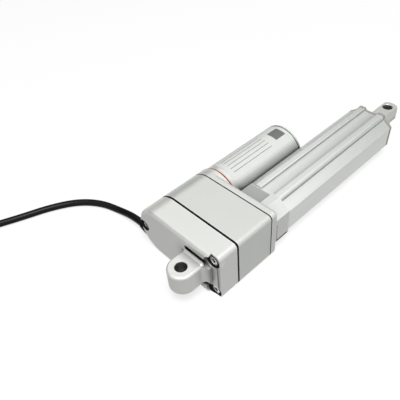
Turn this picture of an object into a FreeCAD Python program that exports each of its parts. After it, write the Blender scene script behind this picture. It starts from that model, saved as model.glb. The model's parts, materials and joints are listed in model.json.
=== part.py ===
"""Electric linear actuator with its motor beside the tube, in millimetres.

The origin is the middle of the rear eye.  +X runs along the lead screw to the rod's eye, +Y points
to the motor and +Z is up.  The stations along X stack up from the rear eye, so a longer stroke or a
deeper housing moves everything in front of it.  The rod is drawn fully retracted.
"""
import FreeCAD, Part
import math
import os

import Sketcher
from FreeCAD import Placement, Rotation, Vector

SIZES = {
    # mounting eyes
    "eye_bore": 8.2,
    "eye_bevel": 0.4,
    "lug_width": 19.0,
    "lug_height": 17.0,
    "lug_edge": 1.8,
    "lug_reach": 10.8,
    # gearbox castings
    "seat_wall": 0.95,
    "body_side_wall": 1.5,
    "corner_round": 3.4,
    "rear_round": 3.0,
    "front_round": 2.0,
    "wall": 2.6,
    "cover_depth": 18.4,
    "rear_gasket_thickness": 1.5,
    "housing_depth": 30.6,
    "front_gasket_thickness": 0.8,
    "gasket_inset": 0.05,
    "plate_depth": 5.7,
    "motor_boss_depth": 2.6,
    "collar_depth": 13.2,
    # rear face: the lower step on the tube's side, the slots above and below the lug, the lug's webs
    "step_y": 13.4,
    "step_depth": 3.4,
    "slot_left": 8.0,
    "slot_low": 7.0,
    "slot_high": 12.6,
    "slot_depth": 2.4,
    "slot_round": 1.4,
    "web": 3.6,
    # cover screws
    "screw_gear_gap": 0.636,
    "screw_edge": 5.8,
    "screw_floor_gap": 0.1,
    "cover_screw_shank": 4.0,
    "cover_screw_head": 7.6,
    "cover_screw_head_depth": 3.6,
    "pocket_bore": 9.4,
    "pocket_depth": 4.8,
    "step_pocket_bore": 10.8,
    "step_pocket_depth": 4.0,
    "screw_boss": 7.2,
    # gears: teeth, face widths and the motor's gap to the tube, which gives the module
    "motor_gap": 0.15,
    "pressure_angle": 25.0,
    "gear_backlash": 0.06,
    "addendum_share": 0.8,
    "dedendum_share": 1.0,
    "pinion_teeth": 12,
    "wheel_teeth": 34,
    "output_teeth": 37,
    "output_gear_width": 9.0,
    "output_hub_length": 4.0,
    "output_hub": 11.0,
    "wheel_width": 7.0,
    "idler_pin": 5.0,
    "idler_boss": 9.0,
    "gear_pin": 2.5,
    # clearances
    "running_gap": 0.08,
    "fit_gap": 0.02,
    "slide_gap": 0.3,
    "side_gap": 0.3,
    "stop_gap": 1.0,
    # lead screw and its bearings
    "screw_thread": 10.0,
    "screw_journal": 8.0,
    "screw_tip": 7.0,
    "spacer": 9.6,
    "rear_bush": 12.0,
    "bush_flange": 15.0,
    "bush_flange_depth": 1.5,
    "bush_length": 8.0,
    "bush_boss": 16.5,
    "bearing_bore": 22.0,
    "bearing_width": 7.0,
    "bearing_ring": 1.5,
    "bearing_balls": 7,
    "screw_passage": 15.0,
    "screw_bush_length": 5.0,
    # tube, guide and end cap
    "stroke": 100.0,
    "tube_half_width": 19.0,
    "tube_side_half": 8.7,
    "shoulder_run": 0.6,
    "shoulder_z": 13.6,
    "rib_outer": 11.8,
    "rib_inner": 5.4,
    "rib_top": 17.0,
    "rib_outer_round": 2.2,
    "rib_inner_round": 1.0,
    "channel_floor": 15.4,
    "channel_dip": 0.6,
    "tube_bore": 26.0,
    "key_slot_width": 8.0,
    "key_slot_reach": 16.6,
    "port_wall": 1.34,
    "port_bore": 3.3,
    "spigot_length": 4.0,
    "guide_length": 15.0,
    "end_cap_depth": 3.0,
    "end_cap_lip": 0.8,
    "wiper": 24.0,
    # collar of the front cover
    "collar_wall": 1.1,
    "collar_side_half": 9.6,
    "collar_slope_z": 11.2,
    "collar_shoulder_y": 13.2,
    "collar_ridge_y": 10.4,
    "collar_top": 17.4,
    "collar_step_y": 4.6,
    "collar_step_z": 15.2,
    "collar_left_y": 14.4,
    # rod, nut and rod end
    "rod": 20.0,
    "rod_bore": 13.0,
    "nut_flange": 8.0,
    "nut_spigot": 8.0,
    "nut_tab_length": 4.0,
    "rod_gap": 1.5,
    "eye_reach": 25.8,
    "eye_width": 16.6,
    "eye_flat": 1.7,
    "eye_edge": 0.6,
    "rod_pin": 3.0,
    # limit switches
    "strip_thickness": 1.0,
    "switch_length": 7.0,
    "switch_plunger": 0.8,
    # motor
    "can": 37.7,
    "can_wall": 1.25,
    "can_length": 75.6,
    "motor_nose": 13.0,
    "motor_nose_depth": 2.2,
    "motor_bush": 9.0,
    "motor_bush_length": 5.5,
    "motor_shaft": 5.0,
    "motor_end_seal_thickness": 0.8,
    "motor_end_depth": 1.9,
    "motor_end_round": 0.9,
    "base_seal_thickness": 0.8,
    "base_seal_width": 0.7,
    "magnet_thickness": 3.28,
    "magnet_overhang": 2.0,
    "magnet_angle": 140.0,
    "air_gap": 1.3,
    "brush_room": 6.6,
    "core_slots": 5,
    "core_slot_width": 3.0,
    "core_slot_depth": 7.0,
    "core_rear_gap": 13.0,
    "coil_end": 6.0,
    "commutator": 13.0,
    "commutator_length": 9.0,
    "brush": 5.0,
    "brush_holder_depth": 2.5,
    "motor_screw_offset": 12.5,
    # small screws
    "small_shank": 3.2,
    "small_head": 5.6,
    "small_head_depth": 2.2,
    "tube_screw_bite": 14.0,
    # power cable
    "cable": 5.5,
    "gland": 8.6,
    "gland_tip_width": 6.6,
    "gland_from_rear": 6.2,
    "gland_rise": 6.8,
    "gland_start": 8.0,
    "gland_straight": 11.6,
    "gland_taper": 7.4,
    "coil_back": 107.0,
    "coil_aside": 132.0,
    "coil_mean_radius": 30.0,
    "coil_layers": 2,
    "coil_corner": 2.4,
    "tie_width": 3.6,
    "tie_thickness": 1.2,
    "lead": 2.2,
    "lead_length": 22.0,
}

TOLERANCE = 1e-4
# how near an edge must be to the place that is asked for
NEAR = 0.01
X_AXIS = Rotation(Vector(0, 1, 0), 90)

doc = FreeCAD.newDocument("linear_actuator")
sheet = doc.addObject("Spreadsheet::Sheet", "Sizes")
for row, (alias, number) in enumerate(SIZES.items(), start=1):
    sheet.set(f"A{row}", alias.replace("_", " "))
    sheet.set(f"B{row}", str(number))
    sheet.setAlias(f"B{row}", alias)
doc.recompute()


class Size:
    """A size, or a sum of sizes, as a formula over the sheet's cells and as its value."""

    def __init__(self, formula, value):
        self.formula = formula
        self.value = float(value)

    @staticmethod
    def of(other):
        return other if isinstance(other, Size) else Size(repr(other), other)

    def __add__(self, other):
        other = Size.of(other)
        return Size(f"({self.formula} + {other.formula})", self.value + other.value)

    def __sub__(self, other):
        other = Size.of(other)
        return Size(f"({self.formula} - {other.formula})", self.value - other.value)

    def __mul__(self, other):
        other = Size.of(other)
        return Size(f"({self.formula} * {other.formula})", self.value * other.value)

    def __truediv__(self, other):
        other = Size.of(other)
        return Size(f"({self.formula} / {other.formula})", self.value / other.value)

    def __neg__(self):
        return Size(f"(0 - {self.formula})", -self.value)


def size(alias):
    """A driving size from the sheet."""
    return Size(f"Sizes.{alias}", sheet.get(alias))


next_row = len(SIZES) + 2


def station(alias, total):
    """Keeps a worked-out place or size in the sheet under its own name."""
    global next_row
    sheet.set(f"A{next_row}", alias.replace("_", " "))
    sheet.set(f"B{next_row}", "=" + total.formula.replace("Sizes.", ""))
    sheet.setAlias(f"B{next_row}", alias)
    next_row += 1
    return Size(f"Sizes.{alias}", total.value)


def bind(thing, **formulas):
    """Ties properties of a document object to the sheet; a double underscore stands for a dot."""
    for name, value in formulas.items():
        thing.setExpression(name.replace("__", "."), Size.of(value).formula)


class Profile:
    """A sketch in a body whose points and radii follow the sheet."""

    PLANES = {"YZ": "YZ_Plane", "XZ": "XZ_Plane", "XY": "XY_Plane"}

    def __init__(self, body, name, plane, offset):
        self.sketch = body.newObject("Sketcher::SketchObject", name)
        roles = {feature.Role: feature for feature in body.Origin.OriginFeatures}
        self.sketch.AttachmentSupport = [(roles[self.PLANES[plane]], "")]
        self.sketch.MapMode = "FlatFace"
        self.sketch.setExpression("AttachmentOffset.Base.z", Size.of(offset).formula)

    def shift(self, across):
        """Moves the sketch's own origin sideways, for a turned piece off the main axis."""
        self.sketch.setExpression("AttachmentOffset.Base.x", Size.of(across).formula)

    def fix(self, curve, end, across=None, up=None):
        """Holds one end of a curve at a place given by the sheet."""
        for kind, axis, place in (("DistanceX", -2, across), ("DistanceY", -1, up)):
            if place is None:
                continue
            place = Size.of(place)
            if place.formula == "0":
                self.sketch.addConstraint(Sketcher.Constraint("PointOnObject", curve, end, axis))
                continue
            held = Sketcher.Constraint(kind, -1, 1, curve, end, place.value)
            index = self.sketch.addConstraint(held)
            self.sketch.setExpression(f"Constraints[{index}]", place.formula)

    def line(self, start, end):
        points = [Vector(Size.of(p[0]).value, Size.of(p[1]).value, 0) for p in (start, end)]
        return self.sketch.addGeometry(Part.LineSegment(*points), False)

    def join(self, curves):
        """Joins the end of each curve to the start of the next, round to the first."""
        for curve, following in zip(curves, curves[1:] + curves[:1]):
            self.sketch.addConstraint(Sketcher.Constraint("Coincident", curve, 2, following, 1))

    def polygon(self, corners):
        sides = [self.line(a, b) for a, b in zip(corners, corners[1:] + corners[:1])]
        self.join(sides)
        for side, (across, up) in zip(sides, corners):
            self.fix(side, 1, across, up)
        return self

    def rectangle(self, left, right, bottom, top):
        return self.polygon([(left, bottom), (right, bottom), (right, top), (left, top)])

    def circle(self, diameter, across=0, up=0):
        radius = Size.of(diameter) / 2
        centre = Vector(Size.of(across).value, Size.of(up).value, 0)
        curve = self.sketch.addGeometry(Part.Circle(centre, Vector(0, 0, 1), radius.value), False)
        self.fix(curve, 3, across, up)
        index = self.sketch.addConstraint(Sketcher.Constraint("Radius", curve, radius.value))
        self.sketch.setExpression(f"Constraints[{index}]", radius.formula)
        return self

    def tongue(self, root, centre, half):
        """A straight-sided outline from root that ends in a half circle about centre."""
        root, centre, half = Size.of(root), Size.of(centre), Size.of(half)
        low = -half if centre.value > root.value else half
        high = half if centre.value > root.value else -half
        middle = Vector(centre.value, 0, 0)
        first = -math.pi / 2 if centre.value > root.value else math.pi / 2
        near = self.line((root, low), (centre, low))
        whole = Part.Circle(middle, Vector(0, 0, 1), half.value)
        round_end = self.sketch.addGeometry(Part.ArcOfCircle(whole, first, first + math.pi), False)
        far = self.line((centre, high), (root, high))
        base = self.line((root, high), (root, low))
        self.join([near, round_end, far, base])
        self.fix(near, 1, root, low)
        self.fix(far, 2, root, high)
        self.fix(round_end, 3, centre, 0)
        self.fix(round_end, 1, centre)
        self.fix(round_end, 2, centre)
        self.sketch.addConstraint(Sketcher.Constraint("Horizontal", near))
        return self


    def arc(self, start, middle, end, radius):
        """An arc that turns to the left from start through middle to end."""
        points = [Vector(Size.of(p[0]).value, Size.of(p[1]).value, 0) for p in (start, middle, end)]
        curve = self.sketch.addGeometry(Part.Arc(*points), False)
        index = self.sketch.addConstraint(Sketcher.Constraint("Radius", curve, radius.value))
        self.sketch.setExpression(f"Constraints[{index}]", radius.formula)
        return curve

    def dip(self, half, level, depth, side):
        """The shallow hollow below a level floor, or with side -1 its image above a level ceiling."""
        floor, bottom = level * side, (level - depth) * side
        first, last = half * side, -half * side
        radius = (half * half + depth * depth) / (depth * 2)
        chord = self.line((first, floor), (last, floor))
        hollow = self.arc((last, floor), (0, bottom), (first, floor), radius)
        self.join([chord, hollow])
        self.fix(chord, 1, first, floor)
        self.fix(chord, 2, last, floor)
        return self

    def web(self, face, half, reach, side):
        """The filling between a face and the side of a lug that stands on it, hollow towards both."""
        inner, outer = half * side, (half + reach) * side
        corner, tip, edge = (face, inner), (face - reach, inner), (face, outer)
        middle = (face - reach * (1 - math.sqrt(0.5)), (half + reach * (1 - math.sqrt(0.5))) * side)
        first, last = (tip, edge) if side > 0 else (edge, tip)
        hollow = self.arc(first, middle, last, reach)
        back, forth = self.line(last, corner), self.line(corner, first)
        self.join([hollow, back, forth])
        self.fix(back, 1, *last)
        self.fix(forth, 1, *corner)
        self.fix(forth, 2, *first)
        return self


class Piece:
    """One piece of the actuator, made as a chain of features in a body of its own."""

    def __init__(self, label):
        self.body = doc.addObject("PartDesign::Body", label)
        self.body.Label = label
        self.label = label
        self.count = 0

    def name(self, kind):
        self.count += 1
        return f"{self.label}_{kind}_{self.count}"

    def profile(self, plane="YZ", at=0):
        """An empty sketch: YZ at a station along X, XZ at a place along -Y, XY at a height."""
        return Profile(self.body, self.name("sketch"), plane, at)

    def finish(self, feature):
        self.body.Tip = feature
        doc.recompute()
        return self

    def pad(self, profile, length, middle=False):
        pad = self.body.newObject("PartDesign::Pad", self.name("pad"))
        pad.Profile = profile.sketch
        pad.Midplane = middle
        bind(pad, Length=length)
        return self.finish(pad)

    def pocket(self, profile, length, forward=True, middle=False):
        """Cuts the profile out along the sketch's normal, or against it."""
        before = self.body.Shape.Volume
        pocket = self.body.newObject("PartDesign::Pocket", self.name("pocket"))
        pocket.Profile = profile.sketch
        pocket.Reversed = forward
        pocket.Midplane = middle
        bind(pocket, Length=length)
        self.finish(pocket)
        if self.body.Shape.Volume >= before - TOLERANCE:
            raise RuntimeError(f"{pocket.Name} cuts nothing")
        return self

    def turn(self, profile, axis="H_Axis"):
        turned = self.body.newObject("PartDesign::Revolution", self.name("turn"))
        turned.Profile = profile.sketch
        turned.ReferenceAxis = (profile.sketch, [axis])
        turned.Angle = 360
        return self.finish(turned)

    def dress(self, kind, wanted, **amount):
        """Rounds or bevels the edges of the last shape for which wanted(edge) holds."""
        tip = self.body.Tip
        names = [f"Edge{n}" for n, edge in enumerate(tip.Shape.Edges, start=1) if wanted(edge)]
        if not names:
            raise RuntimeError(f"{self.label} has no edge to dress")
        feature = self.body.newObject(f"PartDesign::{kind}", self.name(kind.lower()))
        feature.Base = (tip, names)
        bind(feature, **amount)
        return self.finish(feature)

    def repeat(self, axis, copies):
        """Repeats the last feature evenly round an axis of its sketch."""
        last = self.body.Tip
        pattern = self.body.newObject("PartDesign::PolarPattern", self.name("pattern"))
        pattern.Originals = [last]
        pattern.Axis = (last.Profile[0], [axis])
        pattern.Angle = 360
        bind(pattern, Occurrences=copies)
        return self.finish(pattern)


def ends(edge):
    return edge.Vertexes[0].Point, edge.Vertexes[-1].Point


def runs_along_x(*corners):
    """Picks straight edges along X through any of the (y, z) corners."""
    def wanted(edge):
        a, b = ends(edge)
        if abs(a.y - b.y) > TOLERANCE or abs(a.z - b.z) > TOLERANCE or abs(a.x - b.x) < TOLERANCE:
            return False
        return any(abs(a.y - y.value) < NEAR and abs(a.z - z.value) < NEAR for y, z in corners)
    return wanted


def lies_at(axis, place, within=None):
    """Picks edges that lie whole in the plane axis = place, where within(middle of the edge) holds."""
    def wanted(edge):
        first, last = edge.ParameterRange
        points = [edge.valueAt(first + (last - first) * share) for share in (0, 0.5, 1)]
        flat = all(abs(getattr(point, axis) - place.value) < NEAR for point in points)
        return flat and (within is None or within(points[1]))
    return wanted


def turned(label, corners, across=0):
    """A round piece about an axis along X, from its half section as (x, radius) corners."""
    piece = Piece(label)
    return piece.turn(piece.profile("XZ", -Size.of(across)).polygon(corners))


def ring(label, start, length, inner, outer, across=0):
    """A plain ring or, with no inner width, a plain disc about an axis along X."""
    inside, outside, end = Size.of(inner) / 2, Size.of(outer) / 2, start + length
    low = 0 if Size.of(inner).formula == "0" else inside
    return turned(label, [(start, low), (start, outside), (end, outside), (end, low)], across)


def group(label, things):
    """Several like solids that share one node."""
    compound = doc.addObject("Part::Compound", label)
    compound.Label = label
    compound.Links = things
    doc.recompute()
    return compound


def screw(name, head_start, head_depth, head, shank, tip, y, z, forward=True):
    """A headed screw along X: the head, then the shank up to tip."""
    head_part = doc.addObject("Part::Cylinder", name + "_head")
    shank_part = doc.addObject("Part::Cylinder", name + "_shank")
    low = head_start if forward else head_start - head_depth
    body_low = low + head_depth if forward else tip
    length = tip - body_low if forward else low - tip
    sections = ((head_part, head, low, head_depth), (shank_part, shank, body_low, length))
    for part, width, start, span in sections:
        part.Placement = Placement(Vector(), X_AXIS)
        bind(part, Radius=width / 2, Height=span, Placement__Base__x=start)
        bind(part, Placement__Base__y=y, Placement__Base__z=z)
    fused = doc.addObject("Part::Fuse", name)
    fused.Base = head_part
    fused.Tool = shank_part
    return fused


# stations along X, from the rear eye to the rod's eye
rear_face = station("rear_face", size("lug_reach"))
cover_floor = station("cover_floor", rear_face + size("wall"))
screw_face = station("screw_face", rear_face + size("step_depth"))
step_back = station("step_back", screw_face + size("wall"))
cover_front = station("cover_front", rear_face + size("cover_depth"))
housing_rear = station("housing_rear", cover_front + size("rear_gasket_thickness"))
housing_front = station("housing_front", housing_rear + size("housing_depth"))
plate_rear = station("plate_rear", housing_front + size("front_gasket_thickness"))
plate_front = station("plate_front", plate_rear + size("plate_depth"))
motor_seat = station("motor_seat", plate_front + size("motor_boss_depth"))
collar_front = station("collar_front", plate_front + size("collar_depth"))
bearing_front = station("bearing_front", plate_rear + size("bearing_width"))
nut_rear = station("nut_rear", collar_front + size("spigot_length") + size("stop_gap"))
nut_front = station("nut_front", nut_rear + size("nut_flange"))
guide_rear = station("guide_rear", nut_front + size("stroke") + size("stop_gap"))
tube_front = station("tube_front", guide_rear + size("guide_length"))
cap_front = station("cap_front", tube_front + size("end_cap_depth"))
rod_front = station("rod_front", cap_front + size("rod_gap"))
rod_eye = station("rod_eye", rod_front + size("eye_reach"))
spigot_front = station("nut_spigot_front", nut_front + size("nut_spigot"))
screw_bush_rear = station("screw_bush_rear", spigot_front + size("stroke") + size("stop_gap"))
screw_front = station("screw_front", screw_bush_rear + size("screw_bush_length"))

# places across the gearbox
half_height = station("half_height", size("can") / 2 + size("seat_wall"))
right_side = station("right_side", -(size("tube_half_width") + size("body_side_wall")))
motor_y = station("motor_y", size("tube_half_width") + size("can") / 2 + size("motor_gap"))
all_teeth = size("pinion_teeth") * 2 + size("output_teeth") + size("wheel_teeth")
module = station("gear_module", motor_y * 2 / all_teeth)
idler_y = station("idler_y", module * (size("pinion_teeth") + size("output_teeth")) / 2)
# the upper screw on the tube's side clears the output gear; its head's lower fellow lies just above the floor
SCREW_ACROSS, SCREW_UP = 0.737, 0.676
gear_reach = module * (size("output_teeth") / 2 + size("addendum_share"))
screw_reach = station("screw_reach", gear_reach + size("screw_boss") / 2 + size("screw_gear_gap"))
step_screw_y = station("step_screw_y", -(screw_reach * SCREW_ACROSS))
step_screw_z = station("step_screw_z", screw_reach * SCREW_UP)
low_screw_z = station("low_screw_z", size("cover_screw_head") / 2 + size("screw_floor_gap") - half_height)
motor_screw_y = station("motor_screw_y", motor_y + half_height - size("screw_edge"))
cover_screw_places = [(step_screw_y, step_screw_z), (step_screw_y, low_screw_z), (motor_screw_y, 0)]
# the tube's screw ports, outside its bore
PORT_ACROSS, PORT_UP = 0.8694, 0.4941
port_reach = station("port_reach", size("tube_bore") / 2 + size("port_bore") / 2 + size("port_wall"))
port_places = [(port_reach * PORT_ACROSS * a, port_reach * PORT_UP * b) for a in (1, -1) for b in (1, -1)]
shoulder_y = station("shoulder_y", size("rib_outer") + size("shoulder_run"))
collar_side = station("collar_side", size("tube_half_width") + size("collar_wall"))
collar_motor_side = station("collar_motor_side", size("tube_half_width") + size("motor_gap") - size("seat_wall"))
gland_drop = station("gland_drop", half_height - size("gland_rise"))
inner_right = station("inner_right", right_side + size("wall"))
inner_half = station("inner_half", half_height - size("wall"))
shank_hole = station("shank_hole", size("cover_screw_shank") + size("fit_gap") * 2)
small_hole = station("small_hole", size("small_shank") + size("fit_gap") * 2)

# gear stations
bush_face = station("bush_face", cover_front + size("bush_flange_depth"))
output_rear = station("output_rear", bush_face + size("side_gap"))
output_front = station("output_front", output_rear + size("output_gear_width"))
hub_front = station("hub_front", output_front + size("output_hub_length"))
wheel_rear = station("wheel_rear", hub_front + size("side_gap"))
wheel_front = station("wheel_front", wheel_rear + size("wheel_width"))
bush_rear = station("bush_rear", cover_front - size("bush_length"))

# the cable's places: the gland in the motor-side wall and the coil on the floor
gland_x = station("gland_x", rear_face + size("gland_from_rear"))
gland_inner = station("gland_inner", motor_y + size("gland_start"))
gland_shoulder = station("gland_shoulder", gland_inner + size("gland_straight"))
gland_tip = station("gland_tip", gland_shoulder + size("gland_taper"))
coil_x = station("coil_x", gland_x - size("coil_back"))
coil_y = station("coil_y", gland_tip + size("coil_aside"))


def gearbox_outline(profile, inset=0):
    """The gearbox's outline: square on the tube side, half round about the motor's axis."""
    return profile.tongue(right_side + inset, motor_y, half_height - inset)


def round_right_corners(piece, inset=0):
    corners = [(right_side + inset, half_height - inset), (right_side + inset, -(half_height - inset))]
    return piece.dress("Fillet", runs_along_x(*corners), Radius=size("corner_round") - inset)


def holes(piece, at, length, diameter, places):
    """Round holes from a station forward along X."""
    profile = piece.profile("YZ", at)
    for across, up in places:
        profile.circle(diameter, across, up)
    return piece.pocket(profile, length)


def bosses(piece, at, length, diameter, places):
    """Round bosses from a station forward along X."""
    for across, up in places:
        piece.pad(piece.profile("YZ", at).circle(diameter, across, up), length)
    return piece


def make_rear_cover():
    cover = Piece("rear_cover")
    cover.pad(gearbox_outline(cover.profile("YZ", rear_face)), size("cover_depth"))
    round_right_corners(cover)
    cover.dress("Fillet", lies_at("x", rear_face), Radius=size("rear_round"))
    # hollow, open to the front, with a thicker back behind the step and the slots
    hollow = gearbox_outline(cover.profile("YZ", cover_floor), size("wall"))
    cover.pocket(hollow, cover_front - cover_floor)
    back_left = size("slot_left") + size("wall")
    back = cover.profile("YZ", cover_floor).rectangle(inner_right, back_left, -inner_half, inner_half)
    cover.pad(back, step_back - cover_floor)
    # the lower step on the tube's side
    step_outside, step_inside = right_side - size("wall"), -size("step_y")
    step = cover.profile("YZ", rear_face).rectangle(step_outside, step_inside, -half_height, half_height)
    cover.pocket(step, size("step_depth"))
    # the lug, its rounded rims and the webs beside it
    lug_half, rim = size("lug_width") / 2, size("lug_height") / 2
    cover.pad(cover.profile("XY", 0).tongue(step_back, 0, lug_half), size("lug_height"), middle=True)
    for side in (rim, -rim):
        outside = lies_at("z", side, lambda c: c.x < rear_face.value)
        cover.dress("Fillet", outside, Radius=size("lug_edge"))
    web_height = (rim - size("lug_edge")) * 2
    for side in (1, -1):
        web = cover.profile("XY", 0).web(rear_face, lug_half, size("web"), side)
        cover.pad(web, web_height, middle=True)
    # the slots above and below the lug
    for side in (1, -1):
        low, high = sorted((size("slot_low") * side, size("slot_high") * side), key=lambda s: s.value)
        slot = cover.profile("YZ", rear_face).rectangle(-size("step_y"), size("slot_left"), low, high)
        cover.pocket(slot, size("slot_depth"))
    mouth = lies_at("x", rear_face, lambda c: abs(abs(c.z) - size("slot_high").value) < NEAR)
    cover.dress("Fillet", mouth, Radius=size("slot_round"))
    # the block behind the step's screws, screw bosses, the bush's boss and the idler pin's boss
    pocket_back = rear_face + size("pocket_depth") + size("wall")
    pocket_wall = size("pocket_bore") + size("wall") / 2
    bosses(cover, cover_floor, pocket_back - cover_floor, pocket_wall, cover_screw_places[2:])
    block_depth = screw_face + size("step_pocket_depth") + size("wall") - cover_floor
    block_left = step_screw_y + size("step_pocket_bore") / 2 + size("wall") / 2
    block = cover.profile("YZ", cover_floor).rectangle(inner_right, block_left, -inner_half, inner_half)
    cover.pad(block, block_depth)
    bosses(cover, cover_floor, cover_front - cover_floor, size("screw_boss"), cover_screw_places)
    bosses(cover, cover_floor, cover_front - cover_floor, size("bush_boss"), [(0, 0)])
    bosses(cover, cover_floor, cover_front - cover_floor, size("idler_boss"), [(idler_y, 0)])
    holes(cover, bush_rear, size("bush_length"), size("rear_bush") + size("fit_gap") * 2, [(0, 0)])
    idler_hole = size("idler_pin") + size("fit_gap") * 2
    holes(cover, bush_rear, size("bush_length"), idler_hole, [(idler_y, 0)])
    holes(cover, rear_face, size("cover_depth"), shank_hole, cover_screw_places)
    holes(cover, rear_face, size("pocket_depth"), size("pocket_bore"), cover_screw_places[2:])
    step_pocket = size("step_depth") + size("step_pocket_depth")
    holes(cover, rear_face, step_pocket, size("step_pocket_bore"), cover_screw_places[:2])
    # the gland's hole through the motor-side wall, along +Y
    gland_hole = cover.profile("XZ", -gland_inner)
    gland_hole.circle(size("gland") + size("fit_gap") * 2, gland_x, -gland_drop)
    cover.pocket(gland_hole, gland_tip - gland_inner, forward=False)
    # the eye
    cover.pocket(cover.profile("XY", 0).circle(size("eye_bore")), size("lug_height"), middle=True)
    bore = size("eye_bore").value / 2
    for side in (rim, -rim):
        mouth = lies_at("z", side, lambda c: math.hypot(c.x, c.y) < bore + NEAR)
        cover.dress("Chamfer", mouth, Size=size("eye_bevel"))
    return cover


def make_gear_housing():
    housing = Piece("gear_housing")
    housing.pad(gearbox_outline(housing.profile("YZ", housing_rear)), size("housing_depth"))
    round_right_corners(housing)
    housing.pocket(gearbox_outline(housing.profile("YZ", housing_rear), size("wall")), size("housing_depth"))
    bosses(housing, housing_rear, size("housing_depth"), size("screw_boss"), cover_screw_places)
    return holes(housing, housing_rear, size("housing_depth"), shank_hole, cover_screw_places)


def make_gasket(label, start, thickness):
    gasket = Piece(label)
    inset = size("gasket_inset")
    gasket.pad(gearbox_outline(gasket.profile("YZ", start), inset), thickness)
    round_right_corners(gasket, inset)
    gasket.pocket(gearbox_outline(gasket.profile("YZ", start), size("wall")), thickness)
    bosses(gasket, start, thickness, size("screw_boss"), cover_screw_places)
    return holes(gasket, start, thickness, shank_hole, cover_screw_places)


def tube_outline(profile):
    """The extrusion's outline: flat sides, sloped shoulders and two ribs above and below."""
    quarter = [
        (size("tube_half_width"), size("tube_side_half")),
        (shoulder_y, size("shoulder_z")),
        (size("rib_outer"), size("shoulder_z")),
        (size("rib_outer"), size("rib_top")),
        (size("rib_inner"), size("rib_top")),
        (size("rib_inner"), size("channel_floor")),
    ]
    upper_left = [(-y, z) for y, z in reversed(quarter)]
    lower_left = [(-y, -z) for y, z in quarter]
    lower_right = [(y, -z) for y, z in reversed(quarter)]
    return profile.polygon(quarter + upper_left + lower_left + lower_right)


def round_ribs(piece):
    for across, amount in (("rib_outer", "rib_outer_round"), ("rib_inner", "rib_inner_round")):
        corners = [(size(across) * a, size("rib_top") * b) for a in (1, -1) for b in (1, -1)]
        piece.dress("Fillet", runs_along_x(*corners), Radius=size(amount))
    return piece


def hollow_channels(piece, start, length):
    """Makes the floors of the upper and lower channels slightly hollow."""
    for side in (1, -1):
        dip = piece.profile("YZ", start).dip(
            size("rib_inner"), size("channel_floor"), size("channel_dip"), side
        )
        piece.pocket(dip, length)
    return piece


def make_front_cover():
    cover = Piece("front_cover")
    cover.pad(gearbox_outline(cover.profile("YZ", plate_rear)), size("plate_depth"))
    round_right_corners(cover)
    cover.dress("Fillet", lies_at("x", plate_front), Radius=size("front_round"))
    cover.pad(cover.profile("YZ", plate_rear).circle(half_height * 2, motor_y), motor_seat - plate_rear)
    # the collar that the tube stands on
    side, low = collar_side, size("collar_side_half")
    top, step, left = size("collar_top"), size("collar_step_z"), size("collar_left_y")
    collar = cover.profile("YZ", plate_rear).polygon([
        (-side, -low), (-size("collar_shoulder_y"), -step), (left, -step), (collar_motor_side, -low),
        (collar_motor_side, low), (left, step), (-size("collar_step_y"), step),
        (-size("collar_step_y"), top), (-size("collar_ridge_y"), top), (-side, size("collar_slope_z")),
    ])
    cover.pad(collar, collar_front - plate_rear)
    spigot = cover.profile("YZ", collar_front).circle(size("tube_bore") - size("fit_gap") * 2)
    cover.pad(spigot, size("spigot_length"))
    # bearing seat, screw passage, motor seat and nose, idler pin, screws
    full = nut_rear - plate_rear
    holes(cover, plate_rear, full, size("screw_passage"), [(0, 0)])
    holes(cover, plate_rear, size("bearing_width"), size("bearing_bore") + size("fit_gap") * 2, [(0, 0)])
    holes(cover, plate_front, size("motor_boss_depth"), size("can") + size("fit_gap") * 2, [(motor_y, 0)])
    holes(cover, plate_rear, size("plate_depth"), size("motor_nose") + size("fit_gap") * 2, [(motor_y, 0)])
    blind = size("plate_depth") - size("wall") / 2
    holes(cover, plate_rear, blind, size("idler_pin") + size("fit_gap") * 2, [(idler_y, 0)])
    holes(cover, plate_rear, blind, shank_hole, cover_screw_places)
    holes(cover, plate_rear, full, small_hole, port_places)
    head_hole = size("small_head") + size("fit_gap") * 2
    holes(cover, plate_rear, size("small_head_depth"), head_hole, port_places)
    places = [(motor_y, size("motor_screw_offset")), (motor_y, -size("motor_screw_offset"))]
    holes(cover, plate_rear, size("plate_depth"), small_hole, places)
    return holes(cover, plate_rear, size("small_head_depth"), head_hole, places)


def make_outer_tube():
    tube = Piece("outer_tube")
    tube.pad(tube_outline(tube.profile("YZ", collar_front)), tube_front - collar_front)
    round_ribs(tube)
    length = tube_front - collar_front
    hollow_channels(tube, collar_front, length)
    holes(tube, collar_front, length, size("tube_bore"), [(0, 0)])
    reach, half = size("key_slot_reach"), size("key_slot_width") / 2
    tube.pocket(tube.profile("YZ", collar_front).rectangle(-reach, reach, -half, half), length)
    return holes(tube, collar_front, length, size("port_bore"), port_places)


def make_end_cap():
    cap = Piece("tube_end_cap")
    cap.pad(tube_outline(cap.profile("YZ", tube_front)), size("end_cap_depth"))
    round_ribs(cap)
    hollow_channels(cap, tube_front, size("end_cap_depth"))
    holes(cap, tube_front, size("end_cap_depth"), size("rod") + size("slide_gap") * 2, [(0, 0)])
    groove = size("end_cap_depth") - size("end_cap_lip")
    holes(cap, tube_front, groove, size("wiper") + size("fit_gap") * 2, [(0, 0)])
    return holes(cap, tube_front, size("end_cap_depth"), small_hole, port_places)


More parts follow.
